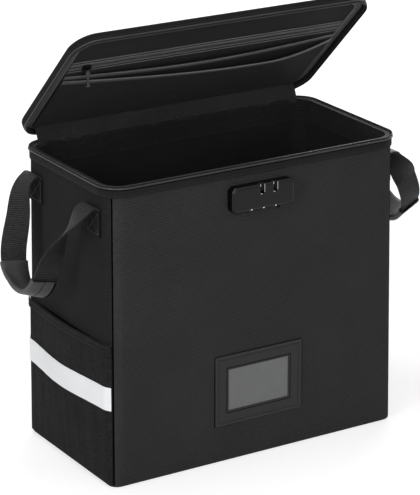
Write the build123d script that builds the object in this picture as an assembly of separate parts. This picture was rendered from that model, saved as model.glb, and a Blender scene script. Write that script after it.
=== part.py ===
from build123d import *
import math
import os

# Record carrying case: a tall fabric-covered box with a hinged lid that zips shut.
# X runs along the front, Y into the depth, Z up. The origin is the middle of the underside.
# The lid is drawn shut and then turned open about its hinge line.

# ---- driving dimensions, millimetres and degrees ----
case_width = 370.0
case_depth = 192.0
rim_height = 340.0
base_corner_radius = 12.0
top_corner_radius = 25.0
wall = 4.0
base_thickness = 4.0
base_edge = 2.0
cloth_gap = 0.2
running_gap = 0.3
lining_thickness = 1.0
floor_board_thickness = 3.0
seam_groove_width = 1.4
seam_groove_depth = 1.0
facing_height = 24.0
facing_thickness = 0.8

# rim binding and piping cord
rim_projection = 3.0
rim_band_height = 12.0
rim_flange_thickness = 2.0
piping_radius = 1.1
piping_notch = 2.2

# zipper between rim and lid
zipper_gap = 6.0
tape_thickness = 0.8
tape_height = 1.9
coil_width = 1.4
coil_height = 1.2
coil_parting = 1.6
coil_middle = 1.3
zipper_end_inset = 64.0

# lid
lid_height = 11.0
lid_board = 4.0
lid_wall = 4.0
lid_edge_radius = 4.0
lid_lining_thickness = 1.2
lid_open_angle = 44.0
hinge_setback = 2.5
hinge_strip_setback = 16.0
hinge_strip_thickness = 1.0
hinge_strip_overlap = 9.0
gusset_width = 330.0
gusset_thickness = 0.8

# pockets inside the lid
pocket_side_margin = 12.0
pocket_foot = 12.0
zip_band_foot = 131.0
zip_band_height = 10.0
zip_band_thickness = 1.0
pocket_coil_radius = 0.9
pocket_cloth = 1.2
pocket_fullness_x = 60.0
rear_hem_reach = 119.0
rear_hem_gape = 10.0
mesh_hem_step = 7.0
mesh_hem_gape = 13.0
hem_height = 5.0
hem_thickness = 0.9

# sliders and pulls
slider_length = 11.0
slider_plate = 1.0
slider_drop = 3.5
slider_rise = 2.5
slider_offset = 3.4
slider_nose = 2.5
slider_park = 4.0
bail_radius = 0.6
bail_post = 0.8
barrel_wall = 0.5
barrel_clearance = 0.1
pull_length = 30.0
pull_width = 4.8
pull_neck_width = 2.4
pull_head_height = 3.0
pull_thickness = 1.2
pull_shoulder = 4.0
pocket_slider_length = 10.0
pocket_slider_width = 8.0
pocket_slider_height = 3.0
pocket_slider_inset = 20.0
pocket_pull_length = 18.0

# combination lock
lock_width = 80.0
lock_height = 29.0
lock_depth = 10.5
lock_corner = 6.5
lock_edge = 3.6
lock_wall = 1.5
lock_drop = 35.5
dial_radius = 4.8
dial_width = 5.6
dial_spacing = 15.4
dial_proud = 1.0
dial_notches = 10
dial_notch_radius = 0.5
axle_radius = 1.0
axle_clearance = 0.05
rib_thickness = 1.2
slot_width = 5.4
slot_height = 11.0
slot_depth = 5.2
slot_wall = 1.2
slot_spacing = 16.6
slot_offset = 6.4
latch_reach = 1.2
latch_travel = 2.0
latch_thickness = 1.2
latch_height = 2.5
latch_arm = 1.4
ramp_x = 25.0
button_width = 12.0
button_offset = 27.0
button_proud = 2.6
button_depth = 5.0
button_flange = 1.5
button_flange_lap = 0.7
stem_width = 6.0
stem_lead = 1.0
mechanism_width = 60.0
mechanism_height = 20.0
back_plate_thickness = 1.2
back_plate_margin = 2.0
screw_radius = 1.2
screw_head_radius = 2.4
screw_head_height = 1.3
screw_inset = 6.0
screw_bite = 6.0
boss_wall = 1.5

# label holder
label_width = 112.0
label_height = 82.0
label_centre_z = 85.0
label_window_width = 78.0
label_window_height = 48.0
label_thickness = 2.2
label_corner = 2.5
label_lap = 6.0
window_thickness = 0.6
card_gap = 0.5

# side pocket with its hem and bright strip
pocket_height = 164.0
pocket_sheet = 1.5
pocket_depth = 7.5
pocket_mouth_depth = 5.0
pocket_fullest_z = 105.0
pocket_hem_height = 9.0
pocket_hem_thickness = 1.0
strip_bottom = 89.0
strip_width = 28.0
strip_thickness = 0.4

# webbing handles: reach is measured outwards from the side of the box
webbing_width = 28.0
webbing_thickness = 1.6
anchor_spread = 64.0
anchor_drop = 28.0
anchor_length = 29.0
swing_axis_reach = 9.0
swing_axis_drop = 31.0
left_handle_reach = 47.0
right_handle_reach = 64.0
left_handle_drop = 102.0
right_handle_drop = 94.0
# routes of one half of a hanging handle: shares of reach, of spread and of drop
handle_route = ((0.10, 0.985, -0.03), (0.50, 0.86, 0.31), (0.90, 0.62, 0.76), (0.99, 0.25, 0.97))
bowed_route = ((0.10, 0.985, -0.03), (0.62, 0.76, 0.31), (0.94, 0.55, 0.76), (0.99, 0.23, 0.97))
left_start_lean = 1.2
right_start_lean = 0.7
fold_rise = 3.0
# each end of the webbing turns flat over a share of its length, one way round or the other
left_handle_twist = (-1, 0.26, 0.42)
right_handle_twist = (1, 0.18, 0.22)
grip_wall = 1.6
grip_fit = 0.5
grip_half_length = 35.0
grip_corner = 2.2

# ---- values that follow from them ----
half_width = case_width / 2
half_depth = case_depth / 2
taper_top = rim_height - rim_band_height
wall_top = rim_height - rim_flange_thickness
rim_width = case_width + 2 * rim_projection
rim_depth = case_depth + 2 * rim_projection
rim_back = half_depth + rim_projection
lid_base = rim_height + zipper_gap
lid_top = lid_base + lid_height
lid_ceiling = lid_top - lid_board
pocket_plane = lid_ceiling - lid_lining_thickness - 2 * cloth_gap
pocket_half_width = half_width - pocket_side_margin
hinge_y = rim_back + hinge_setback
hinge_z = rim_height + zipper_gap / 2
zipper_end_x = half_width - zipper_end_inset
hinge_strip_half_width = zipper_end_x - hinge_strip_setback
inner_inset = wall + cloth_gap + lining_thickness
facing_inset = inner_inset + cloth_gap + facing_thickness
lining_top = wall_top - cloth_gap
anchor_top = rim_height - anchor_drop
swing_axis_z = rim_height - swing_axis_drop
lock_z = rim_height - lock_drop
lock_bottom = lock_z - lock_height / 2
lock_top = lock_z + lock_height / 2
lock_front = -half_depth - lock_depth
lock_inside = lock_front + lock_wall
dial_y = lock_inside + running_gap + dial_radius
dial_z = lock_bottom - dial_proud + dial_radius
outer_rib = dial_spacing + dial_width / 2 + 2 * running_gap + rib_thickness / 2
mechanism_low = lock_bottom + running_gap
slot_floor = lock_top - slot_height
slot_back = lock_front + slot_depth
latch_low = slot_floor + running_gap + pull_head_height + 2 * running_gap
latch_front = slot_back + slot_wall + 2 * cloth_gap
plate_front = -half_depth + facing_inset + cloth_gap
barrel_radius = bail_radius + barrel_clearance + barrel_wall


def block(low, high):
    size = [b - a for a, b in zip(low, high)]
    middle = [(a + b) / 2 for a, b in zip(low, high)]
    return Pos(*middle) * Box(*size)


def rounded_slab(offset, z_low, z_high):
    """Slab with the plan shape of the rim, grown or shrunk by an offset."""
    plan = RectangleRounded(case_width + 2 * offset, case_depth + 2 * offset,
                            top_corner_radius + offset)
    return Pos(0, 0, z_low) * extrude(plan, z_high - z_low)


def ring(outer_offset, inner_offset, z_low, z_high):
    return rounded_slab(outer_offset, z_low, z_high) - rounded_slab(inner_offset, z_low, z_high)


def rod_along_x(x_low, x_high, y, z, radius):
    return Pos((x_low + x_high) / 2, y, z) * Rot(0, 90, 0) * Cylinder(radius, x_high - x_low)


def rod_along_y(y_low, y_high, x, z, radius):
    return Pos(x, (y_low + y_high) / 2, z) * Rot(90, 0, 0) * Cylinder(radius, y_high - y_low)


def plate_xz(outline, y_low, y_high):
    """Flat plate whose outline is drawn in x and z, standing between two depths."""
    face = make_face(Polyline(*[(x, y_low, z) for x, z in outline], close=True))
    return extrude(face, y_high - y_low, dir=(0, 1, 0))


# ---- box ----
def corner_radius(z):
    """The corners widen evenly from the base to the rim band."""
    share = (min(z, taper_top) - base_thickness) / (taper_top - base_thickness)
    return base_corner_radius + (top_corner_radius - base_corner_radius) * share


def tapered_block(inset, z_low, z_high):
    def outline(z):
        return Pos(0, 0, z) * RectangleRounded(
            case_width - 2 * inset, case_depth - 2 * inset, corner_radius(z) - inset)
    lower = loft([outline(z_low), outline(taper_top)], ruled=True)
    return lower + extrude(outline(taper_top), z_high - taper_top)


def wall_wedge(turn, across, deep):
    """Prism that holds one wall and ends on the diagonals through its two corners."""
    out = case_width
    inward = min(across, deep) / 4
    plan = make_face(Polyline((-across / 2 - out, -deep / 2 - out),
                              (across / 2 + out, -deep / 2 - out),
                              (across / 2 - inward, -deep / 2 + inward),
                              (-across / 2 + inward, -deep / 2 + inward), close=True))
    return Rot(0, 0, turn) * extrude(plan, lid_top)


def seam_groove(sign_x, sign_y):
    """Stitched valley between two walls, along the middle of a corner."""
    def mark(z):
        inset = (1 - math.sqrt(0.5)) * corner_radius(z)
        place = Pos(sign_x * (half_width - inset), sign_y * (half_depth - inset), z)
        return place * Rot(0, 0, 45 * sign_x * sign_y) * Rectangle(
            2 * seam_groove_depth, seam_groove_width)
    tapered = loft([mark(base_thickness), mark(taper_top)], ruled=True)
    return tapered + extrude(mark(taper_top), rim_band_height)


def screw_places():
    x = lock_width / 2 - screw_inset
    rise = lock_height / 2 - screw_inset
    return [(-x, lock_z + rise), (x, lock_z + rise), (-x, lock_z - rise)]


def lock_opening(y_low, y_high):
    """Opening behind the lock's wheels, with the screw holes beside it."""
    opening = block((-mechanism_width / 2, y_low, mechanism_low),
                    (mechanism_width / 2, y_high, mechanism_low + mechanism_height))
    for x, z in screw_places():
        opening += rod_along_y(y_low, y_high, x, z, screw_radius + cloth_gap)
    return opening


def wall_panels():
    tube = tapered_block(0, base_thickness, wall_top) - tapered_block(wall, base_thickness, wall_top)
    for sign_x in (-1, 1):
        for sign_y in (-1, 1):
            tube -= seam_groove(sign_x, sign_y)
    panels = {
        "front_panel": tube & wall_wedge(0, case_width, case_depth),
        "right_side_panel": tube & wall_wedge(90, case_depth, case_width),
        "back_panel": tube & wall_wedge(180, case_width, case_depth),
        "left_side_panel": tube & wall_wedge(270, case_depth, case_width),
    }
    panels["front_panel"] -= lock_opening(-half_depth, -half_depth + wall)
    return panels


def base_panel():
    plan = RectangleRounded(case_width, case_depth, base_corner_radius)
    slab = extrude(plan, base_thickness)
    return chamfer(slab.faces().sort_by(Axis.Z)[0].edges(), base_edge)


def lining_walls():
    low = base_thickness + cloth_gap
    sleeve = tapered_block(wall + cloth_gap, low, lining_top) - tapered_block(
        inner_inset, low, lining_top)
    return sleeve - lock_opening(-half_depth + wall, -half_depth + inner_inset + cloth_gap)


def floor_board():
    inset = inner_inset + cloth_gap
    plan = RectangleRounded(case_width - 2 * inset, case_depth - 2 * inset,
                            base_corner_radius - inset + cloth_gap)
    return Pos(0, 0, base_thickness + cloth_gap) * extrude(plan, floor_board_thickness)


def rim_facing():
    """Doubled cloth band round the inside of the mouth."""
    band = ring(-inner_inset - cloth_gap, -facing_inset, lining_top - facing_height, lining_top)
    return band - lock_opening(-half_depth + inner_inset, plate_front)


def rim_binding():
    """Folded cloth over the rim: an outer leg, a notch for the piping and a flat top."""
    notch = rim_height - piping_notch
    shoulder = rim_projection - piping_notch
    leg = ring(rim_projection, running_gap, taper_top, notch)
    neck = ring(shoulder, running_gap, notch, rim_height)
    return leg + neck + ring(shoulder, -facing_inset, wall_top, rim_height)


def piping(z):
    offset = rim_projection - piping_radius
    plan = Pos(0, 0, z) * RectangleRounded(case_width + 2 * offset, case_depth + 2 * offset,
                                           top_corner_radius + offset)
    line = plan.wire()
    section = Plane(origin=line @ 0, z_dir=line % 0) * RegularPolygon(piping_radius, 8)
    return sweep(section, path=line)


def zipper_half(tape_low, coil_low):
    """Tape standing on an edge, with its coil along the free side; the back stays open."""
    half_tape, half_coil = tape_thickness / 2, coil_width / 2
    tape = ring(coil_middle + half_tape, coil_middle - half_tape, tape_low,
                tape_low + tape_height)
    coil = ring(coil_middle + half_coil, coil_middle - half_coil, coil_low,
                coil_low + coil_height)
    opening = block((-zipper_end_x, 0, rim_height), (zipper_end_x, rim_depth, lid_base))
    return tape + coil - opening


def hinge_strip_half(z_low, z_high):
    return block((-hinge_strip_half_width, rim_back + cloth_gap, z_low),
                 (hinge_strip_half_width, rim_back + cloth_gap + hinge_strip_thickness, z_high))


def gusset_half(z_low, z_high):
    """Cloth that closes the gap on the inner side of the hinge."""
    back = half_depth - inner_inset
    return block((-gusset_width / 2, back - gusset_thickness, z_low),
                 (gusset_width / 2, back, z_high))


# ---- lid, drawn shut ----
def lid_shell():
    notch = lid_base + piping_notch
    body = rounded_slab(rim_projection, notch, lid_top)
    body = fillet(body.faces().sort_by(Axis.Z)[-1].edges(), lid_edge_radius)
    body += rounded_slab(rim_projection - piping_notch, lid_base, notch)
    return body - rounded_slab(rim_projection - lid_wall, lid_base, lid_ceiling)


def lid_lining():
    high = lid_ceiling - cloth_gap
    return rounded_slab(rim_projection - lid_wall - cloth_gap, high - lid_lining_thickness, high)


def lid_y(reach):
    """Y on the shut lid of a line at a distance from the lid's back face."""
    return rim_back - reach


def zipped_panel():
    """Cloth front of the flat compartment under the open pockets."""
    return block((-pocket_half_width, lid_y(zip_band_foot), pocket_plane - zip_band_thickness),
                 (pocket_half_width, lid_y(pocket_foot), pocket_plane))


def lid_pocket_zipper():
    face = pocket_plane - zip_band_thickness
    tape = block((-pocket_half_width, lid_y(zip_band_foot + zip_band_height), face),
                 (pocket_half_width, lid_y(zip_band_foot + cloth_gap), pocket_plane))
    middle = lid_y(zip_band_foot + zip_band_height / 2)
    return tape + rod_along_x(-pocket_half_width, pocket_half_width, middle, face,
                              pocket_coil_radius)


def gape_at(x, gape):
    """How far a loose hem stands off the lid: nothing at its stitched ends."""
    edge = pocket_half_width if x > pocket_fullness_x else -pocket_half_width
    share = (x - pocket_fullness_x) / (edge - pocket_fullness_x)
    return gape * math.cos(share * math.pi / 2)


def loose_sheet(foot, reach, hem_reach, gape, top, thickness):
    """Sheet sewn down at its foot and ends, whose hem falls away from the lid."""
    sections = []
    for share in (-1, -0.6, -0.2, 0.2, 0.6, 1):
        x = share * pocket_half_width
        slope = gape_at(x, gape) / (hem_reach - pocket_foot)
        low_z = top - slope * (foot - pocket_foot)
        high_z = top - slope * (reach - pocket_foot)
        sections.append(make_face(Polyline(
            (x, lid_y(foot), low_z), (x, lid_y(reach), high_z),
            (x, lid_y(reach), high_z - thickness), (x, lid_y(foot), low_z - thickness),
            close=True)))
    return loft(sections)


def lid_pockets():
    rear_top = pocket_plane - zip_band_thickness - cloth_gap
    rear_hem_top = rear_top - pocket_cloth - cloth_gap
    mesh_top = rear_top - pocket_cloth - running_gap
    mesh_hem_top = mesh_top - pocket_cloth - cloth_gap
    mesh_hem_reach = rear_hem_reach - mesh_hem_step
    return {
        "lid_document_pocket": loose_sheet(
            pocket_foot, rear_hem_reach, rear_hem_reach, rear_hem_gape, rear_top, pocket_cloth),
        "lid_document_hem": loose_sheet(
            rear_hem_reach - hem_height, rear_hem_reach, rear_hem_reach, rear_hem_gape,
            rear_hem_top, hem_thickness),
        "lid_mesh_pocket": loose_sheet(
            pocket_foot, mesh_hem_reach, mesh_hem_reach, mesh_hem_gape, mesh_top, pocket_cloth),
        "lid_mesh_hem": loose_sheet(
            mesh_hem_reach - hem_height, mesh_hem_reach, mesh_hem_reach, mesh_hem_gape,
            mesh_hem_top, hem_thickness),
    }


def opened(shape):
    """Turns a piece of the shut lid to where it stands with the lid open."""
    return (Pos(0, hinge_y, hinge_z) * Rot(-lid_open_angle, 0, 0)
            * Pos(0, -hinge_y, -hinge_z) * shape)


# ---- sliders and pulls ----
def pull_tab(length):
    """Pull hanging from the origin: a rolled eye, a stem, a neck and a head that locks."""
    half = pull_width / 2
    neck = pull_neck_width / 2
    head = -length + pull_head_height
    plate = plate_xz([(-half, 0), (half, 0), (half, -pull_shoulder), (neck, -2 * pull_shoulder),
                      (neck, head), (half, head - neck), (half, -length), (-half, -length),
                      (-half, head - neck), (-neck, head), (-neck, -2 * pull_shoulder),
                      (-half, -pull_shoulder)], -pull_thickness / 2, pull_thickness / 2)
    plate += rod_along_x(-half, half, 0, 0, barrel_radius)
    return plate - rod_along_x(-half, half, 0, 0, bail_radius + barrel_clearance)


def bail(x, y, z, foot_y, foot_z):
    """Pin that a pull hangs on, held at both ends by posts on the slider."""
    half = pull_width / 2 + running_gap + bail_post
    shape = rod_along_x(x - half, x + half, y, z, bail_radius)
    for start in (x - half, x + half - bail_post):
        shape += block((start, min(y - bail_radius, foot_y), min(z - bail_radius, foot_z)),
                       (start + bail_post, max(y + bail_radius, foot_y),
                        max(z + bail_radius, foot_z)))
    return shape


def zip_pin(side):
    """Where the pull of a main slider hangs."""
    y = half_depth + slider_offset + slider_plate + running_gap + barrel_radius
    return side * (zipper_end_x + slider_park), y, hinge_z


def zip_slider(side):
    """Two plates astride the coils, joined by a nose that runs between the two coils."""
    x, y, z = zip_pin(side)
    low_x, high_x = x - slider_length / 2, x + slider_length / 2
    face = half_depth + slider_offset
    inner_face = half_depth + coil_middle - coil_width / 2 - running_gap
    high_z = hinge_z + slider_rise
    outer = block((low_x, face, hinge_z - slider_drop), (high_x, face + slider_plate, high_z))
    inner = block((low_x, inner_face - slider_plate, rim_height + running_gap),
                  (high_x, inner_face, high_z))
    start = low_x if side > 0 else high_x - slider_nose
    half_nose = coil_parting / 2 - running_gap
    nose = block((start, inner_face, hinge_z - half_nose),
                 (start + slider_nose, face, hinge_z + half_nose))
    return outer + inner + nose + bail(x, y, z, face + slider_plate, z)


def pocket_pin():
    """Where the pull of the pocket slider hangs, on the shut lid."""
    z = (pocket_plane - zip_band_thickness - pocket_coil_radius - pocket_slider_height
         - 2 * running_gap - barrel_radius)
    return (pocket_slider_inset - pocket_half_width,
            lid_y(zip_band_foot + zip_band_height / 2), z)


def pocket_slider():
    x, y, z = pocket_pin()
    low = z + barrel_radius + running_gap
    plan = Pos(x, y, low) * RectangleRounded(pocket_slider_length, pocket_slider_width,
                                             pocket_slider_width / 3)
    return extrude(plan, pocket_slider_height) + bail(x, y, z, y, low)


# ---- combination lock ----
def lock_plan(inset, y_low, y_high):
    plan = Plane.XZ * RectangleRounded(lock_width - 2 * inset, lock_height - 2 * inset,
                                       lock_corner - inset)
    return Pos(0, y_high, lock_z) * extrude(plan, y_high - y_low)


def dial_places():
    return [-dial_spacing, 0.0, dial_spacing]


def slot_places():
    return [slot_offset - slot_spacing / 2, slot_offset + slot_spacing / 2]


def lock_ribs():
    """Upright webs beside the wheels that carry the axle."""
    webs = []
    half = dial_spacing / 2
    for x in (-outer_rib, -half, half, outer_rib):
        webs.append(block((x - rib_thickness / 2, lock_inside, lock_bottom + lock_wall),
                          (x + rib_thickness / 2, -half_depth, dial_z + 2 * axle_radius)))
    return webs


def slot_box(x):
    """Blind slot that takes a pull, with walls on three sides and a floor."""
    side = slot_width / 2 + slot_wall
    return block((x - side, lock_inside, slot_floor - slot_wall),
                 (x + side, slot_back + slot_wall, lock_top - lock_wall))


def latch_window(x):
    """Window in the side of a slot where the latch reaches in."""
    side = slot_width / 2
    return block((x - side - slot_wall, lock_inside + running_gap, latch_low - running_gap),
                 (x - side, slot_back - running_gap, latch_low + latch_height + running_gap))


def button_hole(gap, y_low, y_high, z_low, z_high):
    half = button_width / 2 + gap
    return block((button_offset - half, y_low, z_low), (button_offset + half, y_high, z_high))


def lock_housing():
    body = lock_plan(0, lock_front, -half_depth)
    body = fillet(body.faces().sort_by(Axis.Y)[0].edges(), lock_edge)
    body -= lock_plan(lock_wall, lock_inside, -half_depth)
    for web in lock_ribs():
        body += web
    for x, z in screw_places():
        body += rod_along_y(lock_inside, -half_depth, x, z, screw_radius + boss_wall)
    for x in slot_places():
        body += slot_box(x)
    body -= rod_along_x(-outer_rib - rib_thickness, outer_rib + rib_thickness, dial_y,
                        dial_z, axle_radius + axle_clearance)
    for x in slot_places():
        half = slot_width / 2
        body -= block((x - half, lock_front, slot_floor), (x + half, slot_back, lock_top))
        body -= latch_window(x)
    for x in dial_places():
        half = dial_width / 2 + running_gap
        body -= block((x - half, dial_y - dial_radius - running_gap, lock_bottom),
                      (x + half, -half_depth, lock_bottom + lock_wall))
    for x, z in screw_places():
        body -= rod_along_y(-half_depth - screw_bite, -half_depth, x, z,
                            screw_radius + axle_clearance)
    body -= button_hole(running_gap, lock_inside, lock_inside + button_depth + 2 * running_gap,
                        lock_bottom, lock_bottom + lock_wall + running_gap)
    return body


def lock_axle():
    half = outer_rib + rib_thickness / 2
    return rod_along_x(-half, half, dial_y, dial_z, axle_radius)


def lock_dial(x):
    """Number wheel: a bored disc with a notch beside each number."""
    half = dial_width / 2
    wheel = rod_along_x(x - half, x + half, dial_y, dial_z, dial_radius)
    wheel -= rod_along_x(x - half, x + half, dial_y, dial_z, axle_radius + axle_clearance)
    for index in range(dial_notches):
        angle = 2 * math.pi * index / dial_notches
        wheel -= rod_along_x(x - half, x + half, dial_y + dial_radius * math.cos(angle),
                             dial_z + dial_radius * math.sin(angle), dial_notch_radius)
    return wheel


def lock_button():
    """Push button under the lock: a finger pad, a retaining flange and a ramped stem."""
    y_low, y_high = lock_inside + running_gap, lock_inside + running_gap + button_depth
    floor = lock_bottom + lock_wall + running_gap
    pad = button_hole(0, y_low, y_high, lock_bottom - button_proud, floor)
    pad = fillet(pad.faces().sort_by(Axis.Z)[0].edges().filter_by(Axis.Y), button_proud / 2)
    pad += button_hole(button_flange_lap, y_low, y_high, floor, floor + button_flange)
    top = latch_low + latch_height
    ramp_gap = running_gap * math.sqrt(2)
    left = ramp_x - stem_lead
    stem = plate_xz([(left, floor), (left + stem_width, floor), (left + stem_width, top),
                     (ramp_x + latch_height + ramp_gap, top),
                     (left, top - latch_height - stem_lead - ramp_gap)],
                    latch_front, latch_front + latch_thickness)
    rib = block((left, y_low, floor), (left + stem_width, latch_front + latch_thickness,
                                       floor + button_flange))
    return pad + rib + stem


def lock_latch_bar():
    """Sliding bar behind the slots, with a nose for each pull and a ramped end."""
    first = slot_places()[0] - slot_width / 2 - slot_wall - running_gap - latch_arm
    high = latch_low + latch_height
    bar = plate_xz([(first, latch_low), (ramp_x, latch_low), (ramp_x + latch_height, high),
                    (first, high)], latch_front, latch_front + latch_thickness)
    nose_front = lock_inside + 2 * running_gap
    nose_back = slot_back - 2 * running_gap
    for x in slot_places():
        side = x - slot_width / 2
        arm_end = side - slot_wall - running_gap
        bar += block((arm_end - latch_arm, nose_front, latch_low),
                     (arm_end, latch_front, high))
        bar += block((arm_end - latch_arm, nose_front, latch_low),
                     (side + latch_reach, nose_back, high))
    return bar


def lock_back_plate():
    """Plate inside the case that spreads the load of the lock's screws."""
    half = lock_width / 2 - back_plate_margin
    plan = Plane.XZ * RectangleRounded(2 * half, lock_height - back_plate_margin,
                                       lock_corner - back_plate_margin)
    plate = Pos(0, plate_front + back_plate_thickness, lock_z) * extrude(
        plan, back_plate_thickness)
    for x, z in screw_places():
        plate -= rod_along_y(plate_front, plate_front + back_plate_thickness, x, z,
                             screw_radius + axle_clearance)
    return plate


def lock_screws():
    seat = plate_front + back_plate_thickness
    screws = []
    for x, z in screw_places():
        shank = rod_along_y(-half_depth - screw_bite, seat, x, z, screw_radius)
        head = rod_along_y(seat, seat + screw_head_height, x, z, screw_head_radius)
        slot = block((x - screw_head_radius, seat + screw_head_height / 2, z - screw_radius / 4),
                     (x + screw_head_radius, seat + screw_head_height, z + screw_radius / 4))
        screws.append(shank + head - slot)
    return Compound(screws)


# ---- label holder ----
def label_slab(width, height, y_low, y_high, radius):
    plan = Plane.XZ * RectangleRounded(width, height, radius)
    return Pos(0, y_high, label_centre_z) * extrude(plan, y_high - y_low)


def label_frame():
    """Sewn frame with a window, a recess for a card behind it and an open top."""
    front = -half_depth - label_thickness
    frame = label_slab(label_width, label_height, front, -half_depth, label_corner)
    frame -= label_slab(label_window_width, label_window_height, front, -half_depth,
                        label_corner)
    side = label_width / 2 - label_lap
    low = label_centre_z - label_height / 2 + label_lap
    recess = block((-side, -half_depth - card_gap - window_thickness - cloth_gap, low),
                   (side, -half_depth, label_centre_z + label_height / 2))
    return frame - recess


def label_window():
    side = label_width / 2 - label_lap - cloth_gap
    half = label_height / 2 - label_lap - cloth_gap
    return block((-side, -half_depth - card_gap - window_thickness, label_centre_z - half),
                 (side, -half_depth - card_gap, label_centre_z + half))


# ---- side pocket ----
def pocket_section(z, lift, thickness):
    """Plan of one pocket layer at a height: flat on the corners, standing off between them."""
    radius = corner_radius(z)
    straight = half_depth - radius
    seam_run = straight + radius * math.pi / 4
    rise = min(1.0, (z - base_thickness) / (pocket_fullest_z - base_thickness))
    fall = max(0.0, (z - pocket_fullest_z) / (pocket_height - pocket_fullest_z))
    fullness = pocket_depth * math.sin(rise * math.pi / 2)
    fullness -= (pocket_depth - pocket_mouth_depth) * fall ** 2

    def point(along, angle, height):
        share = (along + radius * angle) / seam_run
        off = height + fullness * math.cos(share * math.pi / 2) ** 2
        return (radius * (1 - math.cos(angle)) - off * math.cos(angle) - half_width,
                along + (radius + off) * math.sin(angle), z)

    def edge(height):
        bends = [point(straight, math.pi / 4 * step / 4, height) for step in range(5)]
        flats = [point(straight * step / 4, 0, height) for step in range(4)]
        half = flats + bends
        front = [(x, -y, z) for x, y, z in reversed(half[1:])]
        return front + half

    inner, outer = edge(lift), edge(lift + thickness)
    return make_face([Spline(*inner), Line(inner[-1], outer[-1]), Spline(*outer),
                      Line(inner[0], outer[0])])


def pocket_layer(heights, lift, thickness):
    return loft([pocket_section(z, lift, thickness) for z in heights])


def side_pocket():
    heights = [base_thickness, pocket_fullest_z / 3, pocket_fullest_z * 2 / 3,
               pocket_fullest_z, (pocket_fullest_z + pocket_height) / 2, pocket_height]
    return pocket_layer(heights, running_gap, pocket_sheet)


def side_pocket_hem():
    low = pocket_height - pocket_hem_height
    heights = [low, (low + pocket_height) / 2, pocket_height]
    return pocket_layer(heights, running_gap + cloth_gap + pocket_sheet, pocket_hem_thickness)


def reflective_strip():
    high = strip_bottom + strip_width
    heights = [strip_bottom, (strip_bottom + high) / 2, high]
    return pocket_layer(heights, running_gap + cloth_gap + pocket_sheet, strip_thickness)


# ---- handles ----
handles = {
    "left": (-1, left_handle_reach, left_handle_drop, left_start_lean, bowed_route,
             left_handle_twist),
    "right": (1, right_handle_reach, right_handle_drop, right_start_lean, handle_route,
              right_handle_twist),
}


def handle_line(name):
    """Middle line of a hanging handle, from its front end round to its rear end."""
    side, reach, drop, lean, front_route, _ = handles[name]

    def place(across, along, down):
        out = swing_axis_reach + (reach - swing_axis_reach) * across
        return side * (half_width + out), anchor_spread * along, swing_axis_z - drop * down
    front = [place(across, -along, down) for across, along, down in front_route]
    rear = [place(across, along, down) for across, along, down in reversed(handle_route)]
    return Spline(*front, place(1, 0, 1), *rear,
                  tangents=[(side * lean, 0, -1), (-side * lean, 0, 1)])


def handle_plane(name, line, share):
    """Section plane of a handle; the webbing twists flat between its ends and the grip."""
    side, reach, drop, _, _, (way, front_twist, rear_twist) = handles[name]
    tilt = math.atan2(reach - swing_axis_reach, drop)
    tangent = line % share
    across = tangent.cross(Vector(side * math.cos(tilt), 0, math.sin(tilt))).normalized()
    upright = across.cross(tangent).normalized()
    turned = min(1.0, share / front_twist, (1 - share) / rear_twist) * math.pi / 2
    width_way = across * (way * math.cos(turned)) + upright * math.sin(turned)
    return Plane(origin=line @ share, x_dir=width_way, z_dir=tangent)


def handle_strap(name):
    line = handle_line(name)
    steps = 24
    return loft([handle_plane(name, line, index / steps)
                 * Rectangle(webbing_width, webbing_thickness) for index in range(steps + 1)],
                ruled=True)


def grip_start(line):
    """Share of the line where the grip begins, found by halving on its distance from the middle."""
    low, high = 0.0, 0.5
    while high - low > 0.001:
        middle = (low + high) / 2
        if (line @ middle).Y < -grip_half_length:
            low = middle
        else:
            high = middle
    return low


def handle_grip(name):
    """Padded sleeve round the webbing, which runs through it."""
    line = handle_line(name)
    start = grip_start(line)
    steps = 8
    planes = [handle_plane(name, line, start + (1 - 2 * start) * index / steps)
              for index in range(steps + 1)]
    width = webbing_width + 2 * grip_fit
    height = webbing_thickness + 2 * grip_fit
    outer = loft([plane * RectangleRounded(width + 2 * grip_wall, height + 2 * grip_wall,
                                           grip_corner) for plane in planes], ruled=True)
    inner = loft([plane * Rectangle(width, height) for plane in planes], ruled=True)
    return outer - inner


def handle_anchors(name):
    """Webbing ends sewn flat to the side of the box."""
    side = handles[name][0]
    low = half_width + running_gap
    corners = sorted((side * low, side * (low + webbing_thickness)))
    return Compound([block((corners[0], y - webbing_width / 2, anchor_top - anchor_length),
                           (corners[1], y + webbing_width / 2, anchor_top))
                     for y in (-anchor_spread, anchor_spread)])


def handle_folds(name):
    """Webbing that bends over between its sewn end and the hanging loop."""
    side = handles[name][0]
    line = handle_line(name)
    middle = half_width + running_gap + webbing_thickness / 2
    pieces = []
    for share, sign in ((0.0, -1), (1.0, 1)):
        way = (line % share) * -sign
        end = line @ share - way * running_gap
        y = sign * anchor_spread
        crest = Vector(side * (middle + (abs(end.X) - middle) / 2), y, end.Z + fold_rise)
        route = Spline((side * middle, y, anchor_top), crest, end, tangents=[(0, 0, 1), way])
        steps = 8
        sections = [Plane(origin=route @ (index / steps), x_dir=(0, 1, 0),
                          z_dir=route % (index / steps))
                    * Rectangle(webbing_width, webbing_thickness) for index in range(steps + 1)]
        pieces.append(loft(sections, ruled=True))
    return Compound(pieces)


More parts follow.
